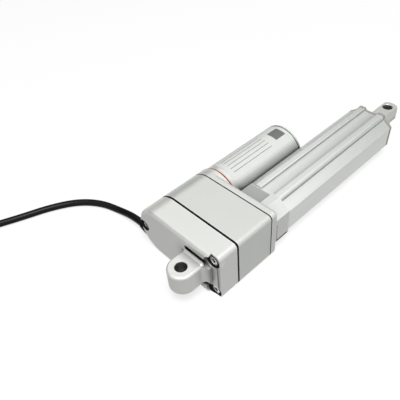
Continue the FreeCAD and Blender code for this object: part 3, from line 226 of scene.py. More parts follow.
class Shade:
    """A node tree of a material or of the world, with one way to add nodes."""

    NEAR_SAMPLES: ClassVar[int] = 8

    def __init__(self, tree: bpy.types.NodeTree) -> None:
        """Empties the tree."""
        self.tree = tree
        self.tree.nodes.clear()

    @classmethod
    def material(cls, name: str) -> tuple[bpy.types.Material, "Shade"]:
        """Starts a material.

        Args:
            name: the material's name.

        Returns:
            The material and its empty shade.
        """
        made = bpy.data.materials.new(name)
        made.use_nodes = True
        return made, cls(made.node_tree)

    def node(
        self,
        kind: str,
        settings: dict[str, Any] | None = None,
        inputs: dict[Any, Any] | None = None,
        output: int | str = 0,
    ) -> Signal:
        """Adds a node.

        Args:
            kind: the node's type.
            settings: its own settings, set first.
            inputs: the value or link of each socket, by name or number.
            output: the socket that is wanted from it.

        Returns:
            The wanted output, or the first input of a node that has no output.
        """
        made = self.tree.nodes.new(kind)
        for name, value in (settings or {}).items():
            setattr(made, name, value)
        for key, value in (inputs or {}).items():
            if isinstance(value, Signal):
                self.tree.links.new(value.socket, made.inputs[key])
            else:
                made.inputs[key].default_value = value
        return Signal(self, made.outputs[output] if len(made.outputs) else made.inputs[0])

    def place(self) -> Signal:
        """Gives the point on the surface, in the frame's metres."""
        return self.node("ShaderNodeTexCoord", output="Object")

    def noise(self, grain: float, stretch: Point = (1.0, 1.0, 1.0), detail: float = 3.0) -> Signal:
        """Adds a noise texture.

        Args:
            grain: the size of its spots in metres.
            stretch: how fast it changes along X, Y and Z.
            detail: how many finer layers it has.

        Returns:
            The noise, about 0.5 in the middle.
        """
        spot = self.node("ShaderNodeMapping", None, {"Vector": self.place(), "Scale": stretch})
        return self.node(
            "ShaderNodeTexNoise", None, {"Vector": spot, "Scale": 1.0 / grain, "Detail": detail}
        )

    def between(self, factor: Operand, first: Signal | Colour, second: Signal | Colour) -> Signal:
        """Mixes two colours.

        Args:
            factor: 0 for the first colour, 1 for the second.
            first: a colour.
            second: another colour.

        Returns:
            The mixed colour.
        """
        inputs: dict[int, Any] = {0: factor}
        for socket, colour in ((6, first), (7, second)):
            inputs[socket] = colour if isinstance(colour, Signal) else (*colour, 1.0)
        return self.node("ShaderNodeMix", {"data_type": "RGBA"}, inputs, 2)

    def inside(self, low: Point, high: Point, soft: float) -> Signal:
        """Marks the part of a surface that lies in a box.

        Args:
            low: the box's lowest corner in metres.
            high: its highest corner.
            soft: half the width of the mark's edge.

        Returns:
            1 inside the box and 0 outside it.
        """
        mark: Operand = 1.0
        for axis in range(3):
            along = self.node("ShaderNodeSeparateXYZ", None, {"Vector": self.place()}, axis)
            for edge, way in ((low[axis], soft), (high[axis], -soft)):
                rise = {"Value": along, "From Min": edge - way, "From Max": edge + way}
                mark = self.node("ShaderNodeMapRange", None, rise) * mark
        return mark

    def shut_in(self, reach: float, alone: bool = True, within: bool = False) -> Signal:
        """Marks hollows within reach of a surface or, looking from within a solid, its outer edges."""
        settings = {"samples": self.NEAR_SAMPLES, "inside": within, "only_local": alone}
        return 1.0 - self.node("ShaderNodeAmbientOcclusion", settings, {"Distance": reach}, "AO")

    def relief(self, height: Signal, depth: float) -> Signal:
        """Turns a height from 0 to 1 into a bumped normal; the depth is what 1 stands for."""
        return self.node("ShaderNodeBump", None, {"Height": height, "Distance": depth, "Strength": 1.0})

    def close(self, surface: Signal, kind: str = "ShaderNodeOutputMaterial") -> None:
        """Joins the finished surface to the tree's output."""
        self.node(kind, None, {"Surface": surface})


class Run(Enum):
    """How a surface's fine texture runs, as its speed of change along X, Y and Z."""

    EVEN = (1.0, 1.0, 1.0)
    DRAWN = (0.012, 1.0, 1.0)
    TURNED = (1.0, 0.03, 0.03)


@dataclass(frozen=True)
class Finish:
    """A surface as its maker would order it, with painted shade in its hollows and a painted highlight on its edges
    where asked; lengths are in metres, tones are shares of its colour.
    """

    name: str
    colour: Colour
    roughness: float
    metallic: float = 0.0
    run: Run = Run.EVEN
    grain: float = 0.6 * MM
    depth: float = 0.004 * MM
    tone: float = 0.05
    cloud: float = 30.0 * MM
    cloud_detail: float = 2.0
    gloss_change: float = 0.1
    coat: float = 0.0
    coat_roughness: float = 0.2
    specular: float = 0.5
    # A box of the surface in another tone; in the rear eye's bore it is partly grease and partly painted shade.
    land: tuple[Point, Point] | None = None
    darker_box_tone: float = 1.0
    darker_box_edge: float = 0.15 * MM
    # Lighter outer edges: partly wear and partly a painted highlight along the edges.
    wear_and_highlight: float = 0.0
    wear_and_highlight_tone: float = 1.2
    wear_and_highlight_reach: float = 1.2 * MM
    # Painted shade: how strongly, how dark and how far the colour is darkened in hollows and between parts.
    painted_shade: float = 0.0
    painted_shade_tone: float = 0.06
    painted_shade_reach: float = 9.0 * MM
    painted_shade_alone: bool = True

    def material(self) -> bpy.types.Material:
        """Makes the material once and then gives the same one again.

        Returns:
            The material.
        """
        known = bpy.data.materials.get(self.name)
        if known is not None:
            return known
        made, shade = Shade.material(self.name)
        fine = shade.noise(self.grain, self.run.value)
        broad = shade.noise(self.cloud, self.run.value, self.cloud_detail)
        spread = fine * 0.5 + broad * 0.5
        dark, light = self.tinted(1.0 - 2.0 * self.tone), self.tinted(1.0 + 2.0 * self.tone)
        colour = shade.between(spread, dark, light)
        # The box's tone: in the bore partly grease and partly painted shade.
        if self.land is not None:
            mark = shade.inside(*self.land, self.darker_box_edge)
            colour = shade.between(mark, colour, self.tinted(self.darker_box_tone))
        # Outer edges lighter: partly wear, partly a painted highlight.
        if self.wear_and_highlight:
            mark = shade.shut_in(self.wear_and_highlight_reach, within=True) * spread * self.wear_and_highlight
            colour = shade.between(mark, colour, self.tinted(self.wear_and_highlight_tone))
        # Painted shade: the colour darkens where a point is shut in by hollows, corners and nearby parts.
        if self.painted_shade:
            mark = shade.shut_in(self.painted_shade_reach, self.painted_shade_alone) * self.painted_shade
            colour = shade.between(mark, colour, self.tinted(self.painted_shade_tone))
        inputs = {
            "Base Color": colour,
            "Roughness": (spread - 0.5) * self.gloss_change + self.roughness,
            "Metallic": self.metallic,
            "Specular IOR Level": self.specular,
            "Coat Weight": self.coat,
            "Coat Roughness": self.coat_roughness,
            "Normal": shade.relief(fine, self.depth),
        }
        shade.close(shade.node("ShaderNodeBsdfPrincipled", None, inputs))
        return made

    def tinted(self, share: float) -> Colour:
        """Gives the finish's colour with each channel multiplied, within 0 and 1."""
        return tuple(min(max(channel * share, 0.0), 1.0) for channel in self.colour)


class Finishes:
    """The finishes of the actuator, by what they are on it."""

    # Its darker box is the rear eye's bore, partly grease and partly painted shade; painted shade also darkens its
    # hollows, and its lighter edges are partly a painted highlight.
    CASTING = Finish(
        "sprayed_casting_with_painted_shade_in_greased_bore", (0.74, 0.75, 0.715), 0.34, metallic=0.38, grain=0.9 * MM,
        depth=0.008 * MM, tone=0.03, specular=0.3, wear_and_highlight=1.6, painted_shade=1.2,
        land=((-4.3 * MM, -4.3 * MM, -7.8 * MM), (4.3 * MM, 4.3 * MM, 7.8 * MM)), darker_box_tone=0.3,
    )
    # Painted shade darkens its hollows.
    HOUSING_CASTING = replace(
        CASTING, name="sprayed_middle_casting", colour=(0.67, 0.685, 0.65), tone=0.035,
        cloud=18.0 * MM, painted_shade=1.0, land=None,
    )
    # Its darker box is the flat beside the motor, given a darker tone; painted shade darkens its hollows.
    COLLAR_CASTING = replace(
        CASTING, name="sprayed_casting_with_darker_flat", colour=(0.70, 0.71, 0.68), painted_shade=0.8,
        land=((68.2 * MM, -4.5 * MM, 14.9 * MM), (81.5 * MM, 19.0 * MM, 15.5 * MM)), darker_box_tone=0.58,
    )
    CAP = Finish(
        "dark_cast_end_cap", (0.36, 0.35, 0.32), 0.5, metallic=0.15, grain=0.5 * MM, depth=0.008 * MM,
    )
    # Painted shade darkens its channel and corners; its lighter edges are partly a painted highlight.
    EXTRUSION = Finish(
        "anodised_extrusion", (0.76, 0.78, 0.75), 0.36, metallic=0.6, run=Run.DRAWN, grain=0.3 * MM,
        tone=0.06, cloud=3.0 * MM, wear_and_highlight=1.6, painted_shade=1.35, painted_shade_reach=6.5 * MM,
    )
    # Its painted shade reaches to other pieces, so the can darkens in the gap beside the tube; its lighter edges are
    # partly a painted highlight.
    CAN = Finish(
        "lacquered_motor_can", (0.74, 0.76, 0.74), 0.34, metallic=0.35, run=Run.TURNED, grain=0.5 * MM,
        depth=0.002 * MM, tone=0.02, wear_and_highlight=1.0, painted_shade=1.35, painted_shade_reach=13.0 * MM, painted_shade_alone=False,
    )
    FOIL = Finish(
        "label_foil", (0.70, 0.71, 0.685), 0.45, grain=1.5 * MM, tone=0.02, specular=0.2,
    )
    GASKET = Finish(
        "black_gasket_rubber", (0.008, 0.008, 0.008), 0.7, grain=0.3 * MM, depth=0.01 * MM, tone=0.25,
        specular=0.1,
    )
    ORANGE_SEAL = Finish(
        "orange_seal_rubber", (0.33, 0.066, 0.018), 0.55, grain=0.3 * MM, depth=0.006 * MM, tone=0.08,
        specular=0.2,
    )
    PRINT = Finish(
        "grey_label_ink", (0.16, 0.16, 0.155), 0.55, grain=0.4 * MM, depth=0.001 * MM, tone=0.1,
    )
    # Its painted shade darkens the hexagon socket.
    ZINC = Finish(
        "zinc_plated_screw", (0.95, 0.96, 0.96), 0.22, metallic=0.75, grain=0.2 * MM, depth=0.002 * MM,
        tone=0.03, painted_shade=4.0, painted_shade_reach=1.8 * MM,
    )
    STEEL = Finish(
        "ground_steel", (0.55, 0.55, 0.56), 0.3, metallic=1.0, run=Run.TURNED, grain=0.2 * MM,
        depth=0.002 * MM,
    )
    ROD = Finish(
        "polished_rod", (0.74, 0.74, 0.74), 0.24, metallic=0.75, run=Run.TURNED, grain=0.15 * MM,
        depth=0.001 * MM, tone=0.03,
    )
    # Painted shade darkens its eye hole.
    EYE = Finish(
        "blasted_rod_end", (0.64, 0.635, 0.61), 0.40, metallic=0.35, grain=0.3 * MM, depth=0.006 * MM,
        tone=0.04, painted_shade=1.4,
    )
    NYLON = Finish(
        "moulded_nylon", (0.78, 0.77, 0.72), 0.45, grain=0.8 * MM, depth=0.003 * MM, tone=0.03,
    )
    BLACK_PLASTIC = Finish(
        "moulded_black_plastic", (0.025, 0.025, 0.027), 0.5, grain=0.25 * MM, depth=0.008 * MM,
        tone=0.15,
    )
    BOARD = Finish(
        "green_circuit_board", (0.02, 0.16, 0.06), 0.4, grain=0.4 * MM, tone=0.15,
    )
    BRONZE = Finish(
        "sintered_bronze", (0.52, 0.33, 0.16), 0.48, metallic=0.9, grain=0.12 * MM, depth=0.012 * MM,
        tone=0.12,
    )
    COPPER = Finish(
        "enamelled_copper", (0.62, 0.26, 0.12), 0.3, metallic=0.9, run=Run.TURNED, grain=0.5 * MM,
        depth=0.02 * MM, tone=0.15, coat=0.5,
    )
    FERRITE = Finish(
        "dark_ferrite", (0.07, 0.07, 0.075), 0.6, grain=0.2 * MM, depth=0.01 * MM, tone=0.12,
    )
    JACKET = Finish(
        "cable_jacket", (0.006, 0.006, 0.007), 0.33, grain=0.8 * MM, tone=0.2, specular=0.13,
    )
    RED_LEAD = Finish("red_lead", (0.42, 0.03, 0.025), 0.4, grain=0.4 * MM, tone=0.08)
    DARK_LEAD = replace(RED_LEAD, name="black_lead", colour=(0.015, 0.015, 0.016), tone=0.15)
    TINNED = Finish(
        "tinned_strands", (0.68, 0.68, 0.66), 0.32, metallic=1.0, grain=0.15 * MM, depth=0.02 * MM,
        tone=0.08,
    )


class Workshop:
    """Makes mesh and curve objects, puts them on a body and gives them a finish."""

    @staticmethod
    def placed(name: str, data: bpy.types.ID) -> bpy.types.Object:
        """Makes an object and links it to the scene.

        Args:
            name: the object's name.
            data: its mesh, curve, camera or lamp.

        Returns:
            The linked object.
        """
        made = bpy.data.objects.new(name, data)
        bpy.context.scene.collection.objects.link(made)
        return made

    @staticmethod
    def ring(middle: Point, sides: int, radius: Callable[[float], float]) -> list[Point]:
        """Gives one ring of points round an axis along X.

        Args:
            middle: the ring's middle.
            sides: how many points it has.
            radius: its radius at an angle.

        Returns:
            The ring's points.
        """
        x, y, z = middle
        angles = [2 * math.pi * step / sides for step in range(sides)]
        return [(x, y + radius(a) * math.cos(a), z + radius(a) * math.sin(a)) for a in angles]

    @classmethod
    def mesh(
        cls,
        name: str,
        verts: Sequence[Point],
        faces: Sequence[Sequence[int]],
        crease: float = 35.0,
    ) -> bpy.types.Object:
        """Makes a mesh object with outward faces and smooth shading up to an angle.

        Args:
            name: the piece's name.
            verts: its points in metres.
            faces: the points of each face.
            crease: edges that bend by more than this many degrees stay sharp.

        Returns:
            The linked object.
        """
        data = bpy.data.meshes.new(name)
        data.from_pydata([tuple(v) for v in verts], [], [list(f) for f in faces])
        work = bmesh.new()
        work.from_mesh(data)
        bmesh.ops.recalc_face_normals(work, faces=work.faces)
        work.to_mesh(data)
        work.free()
        data.polygons.foreach_set("use_smooth", [True] * len(data.polygons))
        data.set_sharp_from_angle(angle=math.radians(crease))
        return cls.placed(name, data)

    @classmethod
    def rings(
        cls,
        name: str,
        rings: Sequence[Sequence[Point]],
        start: Point | None = None,
        end: Point | None = None,
        crease: float = 35.0,
        closed: bool = False,
    ) -> bpy.types.Object:
        """Makes a skin over rings of points.

        Args:
            name: the piece's name.
            rings: rings of equally many points.
            start: a point that closes the first ring, or None to leave it open.
            end: a point that closes the last ring, or None.
            crease: the angle in degrees past which edges stay sharp.
            closed: whether the last ring joins the first one.

        Returns:
            The linked object.
        """
        count = len(rings[0])
        verts: list[Point] = [point for ring in rings for point in ring]
        faces: list[list[int]] = []
        pairs = [(row, row + 1) for row in range(len(rings) - 1)]
        if closed:
            pairs.append((len(rings) - 1, 0))
        for low, high in pairs:
            for step in range(count):
                following = (step + 1) % count
                first, second = low * count, high * count
                faces.append([first + step, first + following, second + following, second + step])
        for tip, row in ((start, 0), (end, len(rings) - 1)):
            if tip is None:
                continue
            verts.append(tip)
            for step in range(count):
                faces.append([row * count + step, row * count + (step + 1) % count, len(verts) - 1])
        return cls.mesh(name, verts, faces, crease)

    @classmethod
    def curve(cls, name: str, points: Sequence[Point], radius: float) -> bpy.types.Object:
        """Makes a round cord on a smooth line.

        Args:
            name: the piece's name.
            points: the control points of its line.
            radius: half its thickness.

        Returns:
            The linked curve object.
        """
        data = bpy.data.curves.new(name, "CURVE")
        data.dimensions = "3D"
        data.bevel_depth = radius
        data.bevel_resolution = 5
        data.resolution_u = 8
        data.use_fill_caps = True
        spline = data.splines.new("NURBS")
        spline.points.add(len(points) - 1)
        for control, point in zip(spline.points, points):
            control.co = (*point, 1.0)
        spline.order_u = 3
        spline.use_endpoint_u = True
        return cls.placed(name, data)

    @staticmethod
    def fit(
        piece: bpy.types.Object,
        body: str,
        finish: Finish,
        slot: str,
        replaced: Sequence[str] = (),
    ) -> bpy.types.Object:
        """Dresses a piece and puts it on its body.

        Args:
            piece: the piece, already in place.
            body: the body that it rides on.
            finish: its surface.
            slot: the record's slot that it takes its finish from.
            replaced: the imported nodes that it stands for.

        Returns:
            The piece.
        """
        piece.data.materials.clear()
        piece.data.materials.append(finish.material())
        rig.ride(piece, body)
        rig.slot(piece, slot)
        if replaced:
            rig.replaces(piece, *replaced)
        log.info("made %s on %s", piece.name, body)
        return piece


@dataclass
class Cable:
    """The power cable from its boot to the tied coil and the bare leads.

    The bends and the coil's offset are in millimetres from the exit, and the tail's points from the
    coil's middle. Other plain numbers are counts, or shares of what they belong to, such as the strap's
    width for its head and the head's width for the cut end.
    """

    diameter: float = 5.5 * MM
    length: float = 0.813
    exit: Point = (17.0 * MM, 65.0 * MM, -13.0 * MM)
    floor: float = -19.8 * MM
    straight: float = 11.0 * MM
    bends: tuple[tuple[float, float], ...] = (
        (-1.2, 28.0), (-6.6, 46.8), (-19.0, 63.0), (-38.6, 74.5), (-58.4, 81.6), (-79.4, 90.2),
        (-99.0, 98.5),
    )
    coil_offset: tuple[float, float] = (-107.0, 132.0)
    coil_entry: float = math.radians(-111.6)
    turn_points: int = 24
    wound_degrees: float = 3.0 * 360.0 + 62.0
    layer: float = 1.01
    outer_radius: float = 32.9 * MM
    inner_radius: float = 27.2 * MM
    step_degrees: float = 40.0
    tail: tuple[tuple[float, float, float], ...] = (
        (-34.6, 12.5, 5.6), (-34.4, 21.0, 2.6), (-31.0, 29.0, 0.0), (-25.0, 35.5, 0.0),
        (-20.0, 38.0, 0.0),
    )
    boot_body: tuple[float, ...] = (0.0, 10.4 * MM, 11.6 * MM)
    boot_wall: float = 0.55 * MM
    boot_lip: float = 0.2 * MM
    boot_sides: int = 32
    ribs: int = 5
    rib_start: float = 0.25
    rib_shape: tuple[tuple[float, float], ...] = (
        (0.0, 0.45 * MM), (0.2, 0.45 * MM), (0.3, 0.0), (0.6, 0.0),
    )
    tie_width: float = 3.6 * MM
    tie_thickness: float = 0.9 * MM
    tie_steps: int = 8
    tie_lift_radians: float = 0.35
    head_share: float = 0.72
    head_depth: float = 0.8
    head_rise: float = 3.0 * MM
    head_bevel: float = 0.5 * MM
    head_corner: float = 0.25
    head_corner_points: int = 6
    stub_rise: float = 1.6 * MM
    stub_shares: tuple[float, float] = (0.35, 0.3)
    lead_radius: float = 1.1 * MM
    lead_length: float = 17.0 * MM
    lead_inset: tuple[float, float] = (1.5 * MM, 1.2 * MM)
    lead_apart: float = 1.15
    lead_bend: float = 0.45
    lead_drop: float = 0.8
    lead_splay: tuple[float, float] = (0.5 * MM, 0.4 * MM)
    tip_length: float = 5.0 * MM
    tip_inside: float = 1.0 * MM
    tip_middle: float = 2.0 * MM
    tip_share: float = 0.6
    parts: list[bpy.types.Object] = field(default_factory=list)

    def build(self) -> None:
        route = self.route()
        cord = Workshop.curve("power_cord", route, self.diameter / 2)
        replaced = ("power_cable", "cable_coil", "cable_end")
        Workshop.fit(cord, HOUSING, Finishes.JACKET, "cable_black", replaced)
        self.parts.append(self.boot())
        self.parts.append(self.tie())
        self.parts.extend(self.leads(route))
        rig.cord(
            cord, exit=self.exit, length=self.length, diameter=self.diameter, far_end="bare",
            stiffness="medium", lay="loose", with_pieces=self.parts,
        )

    @property
    def laid(self) -> float:
        """Height of the cable's middle where it lies on the floor."""
        return self.floor + self.diameter / 2

    @property
    def centre(self) -> tuple[float, float]:
        """The coil's middle on the floor."""
        return self.exit[0] + self.coil_offset[0] * MM, self.exit[1] + self.coil_offset[1] * MM

    def route(self) -> list[Point]:
        """Gives the cord's control points.

        Returns:
            The way out of the boot, the bends on the floor, the coil's turns and the free end.
        """
        x, y, z = self.exit
        points = [self.exit, (x, y + self.straight, z)]
        points += [(x + back * MM, y + aside * MM, self.laid) for back, aside in self.bends]
        points += self.turns()
        middle_x, middle_y = self.centre
        for across, along, up in self.tail:
            points.append((middle_x + across * MM, middle_y + along * MM, self.laid + up * MM))
        return points

    def turns(self) -> list[Point]:
        """Winds the coil.

        Returns:
            Its control points: out and low, in and low, in and high, out and high.
        """
        middle_x, middle_y = self.centre
        step = 360.0 / self.turn_points
        change = self.inner_radius - self.outer_radius
        points = []
        for count in range(int(self.wound_degrees / step) + 1):
            travelled = count * step
            radius = self.outer_radius + change * self.inward(travelled)
            height = self.laid + self.diameter * self.layer * self.eased(travelled, 2, 1)
            angle = self.coil_entry - math.radians(travelled)
            height += self.lift(angle)
            across, along = radius * math.cos(angle), radius * math.sin(angle)
            points.append((middle_x + across, middle_y + along, height))
        return points

    def eased(self, travelled: float, turn: int, sectors: int) -> float:
        """Gives how far a change of place has gone, from 0 to 1.

        Args:
            travelled: degrees wound so far.
            turn: the turn at whose end the change is made.
            sectors: how many sectors before that end the change is complete.

        Returns:
            0 before the change, 1 after it and a smooth step between.
        """
        end = turn * 360.0 - sectors * self.step_degrees
        share = min(max((travelled - end + self.step_degrees) / self.step_degrees, 0.0), 1.0)
        return share * share * (3.0 - 2.0 * share)

    def inward(self, travelled: float) -> float:
        """Gives 1 where the turn lies inside and 0 where it lies outside."""
        return self.eased(travelled, 1, 0) - self.eased(travelled, 3, 2)

    def lift(self, angle: float) -> float:
        """Gives how far the strap under the coil raises the turns near it."""
        off = math.remainder(angle - math.pi / 2, 2 * math.pi)
        return self.tie_thickness * math.exp(-(off / self.tie_lift_radians) ** 2)

    def boot(self) -> bpy.types.Object:
        """Makes the ribbed boot that the cable leaves through.

        Returns:
            The boot.
        """
        low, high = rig.box("cable_gland")
        radius = (high.x - low.x) / 2
        outline = [(low.y + along, radius) for along in self.boot_body]
        shoulder = outline[-1][0]
        taper = high.y - shoulder
        pitch = taper / self.ribs
        for rib in range(self.ribs):
            start = shoulder + taper * (rib + self.rib_start) / self.ribs
            share = (rib + 0.5) / self.ribs
            wide = radius + (self.diameter / 2 + self.boot_wall - radius) * share
            outline += [(start + pitch * along, wide - deep) for along, deep in self.rib_shape]
        outline.append((high.y, self.diameter / 2 + self.boot_lip))
        x, z = self.exit[0], self.exit[2]
        around = [2 * math.pi * step / self.boot_sides for step in range(self.boot_sides)]
        rings = [[(x + r * math.cos(a), y, z + r * math.sin(a)) for a in around] for y, r in outline]
        made = Workshop.rings("cable_boot", rings, (x, low.y, z), (x, high.y, z), 50.0)
        return Workshop.fit(made, HOUSING, Finishes.JACKET, "cable_black", ("cable_gland",))

    def tie(self) -> bpy.types.Object:
        """Makes the strap round the three turns on the coil's far side, with its head and cut end.

        Returns:
            The strap; its head joins the cable's parts by itself.
        """
        middle_x, middle_y = self.centre
        low = self.laid + self.tie_thickness
        cords = [
            (self.outer_radius, low), (self.inner_radius, low + self.diameter),
            (self.inner_radius, low),
        ]
        inner, outer = [], []
        reach = self.diameter / 2
        for index, (across, up) in enumerate(cords):
            before, after = cords[index - 1], cords[(index + 1) % len(cords)]
            first = math.atan2(up - before[1], across - before[0]) - math.pi / 2
            last = math.atan2(after[1] - up, after[0] - across) - math.pi / 2
            while last < first:
                last += 2 * math.pi
            for step in range(self.tie_steps + 1):
                angle = first + (last - first) * step / self.tie_steps
                for line, radius in ((inner, reach), (outer, reach + self.tie_thickness)):
                    line.append((across + radius * math.cos(angle), up + radius * math.sin(angle)))
        x_low, x_high = middle_x - self.tie_width / 2, middle_x + self.tie_width / 2
        rings = [
            [(x, middle_y + across, up) for across, up in line]
            for x, line in ((x_low, inner), (x_low, outer), (x_high, outer), (x_high, inner))
        ]
        made = Workshop.rings("cord_tie", rings, crease=40.0, closed=True)
        head = self.tie_head(middle_x, middle_y + self.outer_radius, low + self.diameter / 2)
        Workshop.fit(head, HOUSING, Finishes.BLACK_PLASTIC, "black_plastic")
        self.parts.append(head)
        return Workshop.fit(made, HOUSING, Finishes.BLACK_PLASTIC, "black_plastic", ("cable_tie",))

    def tie_head(self, x: float, y: float, z: float) -> bpy.types.Object:
        """Makes the strap's locking head, a bevelled block with the cut end standing out of it.

        Args:
            x: its middle along X.
            y: its middle along Y.
            z: its underside.

        Returns:
            The head.
        """
        half, rise, bevel = self.tie_width * self.head_share, self.head_rise, self.head_bevel
        wide, narrow = (half * share for share in self.stub_shares)
        levels = [
            (0.0, half - bevel), (bevel, half), (rise - bevel, half), (rise, half - bevel),
            (rise, wide), (rise + self.stub_rise, narrow),
        ]
        square = self.rounded_square(self.head_corner, self.head_corner_points)
        rings = []
        for up, reach in levels:
            rings.append([(x + a * reach, y + b * reach * self.head_depth, z + up) for a, b in square])
        return Workshop.rings("cord_tie_head", rings, (x, y, z), (x, y, z + rise + self.stub_rise))

    @staticmethod
    def rounded_square(corner: float, points: int) -> list[tuple[float, float]]:
        """Gives the outline of a square of half width 1 with rounded corners.

        Args:
            corner: the radius of its corners.
            points: how many points each corner has.

        Returns:
            The outline's points.
        """
        reach = (1.0 - corner) * math.sqrt(2)
        outline = []
        for quarter in range(4):
            turn = math.radians(quarter * 90 + 45)
            for step in range(points):
                angle = math.radians(quarter * 90 + 90.0 * step / (points - 1))
                across = reach * math.cos(turn) + corner * math.cos(angle)
                outline.append((across, reach * math.sin(turn) + corner * math.sin(angle)))
        return outline

    def leads(self, route: Sequence[Point]) -> list[bpy.types.Object]:
        """Makes the two insulated leads and their tinned tips past the end of the jacket.

        Args:
            route: the cord's control points.

        Returns:
            The four pieces.
        """
        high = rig.box("cable_leads")[1]
        end = Vector(route[-1])
        far = Vector((high.x - self.lead_inset[0], high.y - self.lead_inset[1]))
        along = Vector((far.x - end.x, far.y - end.y, 0.0)).normalized()
        across = Vector((-along.y, along.x, 0.0))
        drop = Vector((0.0, 0.0, self.floor + self.lead_radius - end.z))
        near_splay, far_splay = self.lead_splay
        made = []
        for name, side, finish in (("red", 1, Finishes.RED_LEAD), ("black", -1, Finishes.DARK_LEAD)):
            start = end + across * (side * self.lead_radius * self.lead_apart)
            bend = start + along * (self.lead_length * self.lead_bend) + drop * self.lead_drop
            bend += across * (side * near_splay)
            stop = start + along * self.lead_length + drop + across * (side * far_splay)
            line = [start, (start + bend) / 2, bend, stop]
            lead = Workshop.curve(f"{name}_lead", line, self.lead_radius)
            made.append(Workshop.fit(lead, HOUSING, finish, "lead_colours", ("cable_leads",)))
            onward = (stop - bend).normalized()
            strands = [stop + onward * d for d in (-self.tip_inside, self.tip_middle, self.tip_length)]
            tip = Workshop.curve(f"{name}_lead_tip", strands, self.lead_radius * self.tip_share)
            made.append(Workshop.fit(tip, HOUSING, Finishes.TINNED, "lead_colours"))
        return made


@dataclass(frozen=True)
class PlainScrew:
    """The sizes of one packed plain screw."""

    NEAR: ClassVar[float] = 0.1 * MM

    y: float
    z: float
    head: float
    shank: float
    top: float
    under: float
    length: float
    inward: float

    @classmethod
    def measured(cls, solid: Sequence[Vector], faces_rear: bool) -> "PlainScrew":
        """Measures a screw.

        Args:
            solid: the plain screw's points.
            faces_rear: whether its head faces -X.

        Returns:
            Its sizes.
        """
        low = Vector([min(point[axis] for point in solid) for axis in range(3)])
        high = Vector([max(point[axis] for point in solid) for axis in range(3)])
        y, z = (low.y + high.y) / 2, (low.z + high.z) / 2
        head = (high.y - low.y) / 2
        reach = [math.hypot(point.y - y, point.z - z) for point in solid]
        tip = high.x if faces_rear else low.x
        shank = max(r for point, r in zip(solid, reach) if abs(point.x - tip) < cls.NEAR)
        wide = [point.x for point, r in zip(solid, reach) if r > head - cls.NEAR]
        top, under = (min(wide), max(wide)) if faces_rear else (max(wide), min(wide))
        return cls(y, z, head, shank, top, under, high.x - low.x, 1.0 if faces_rear else -1.0)


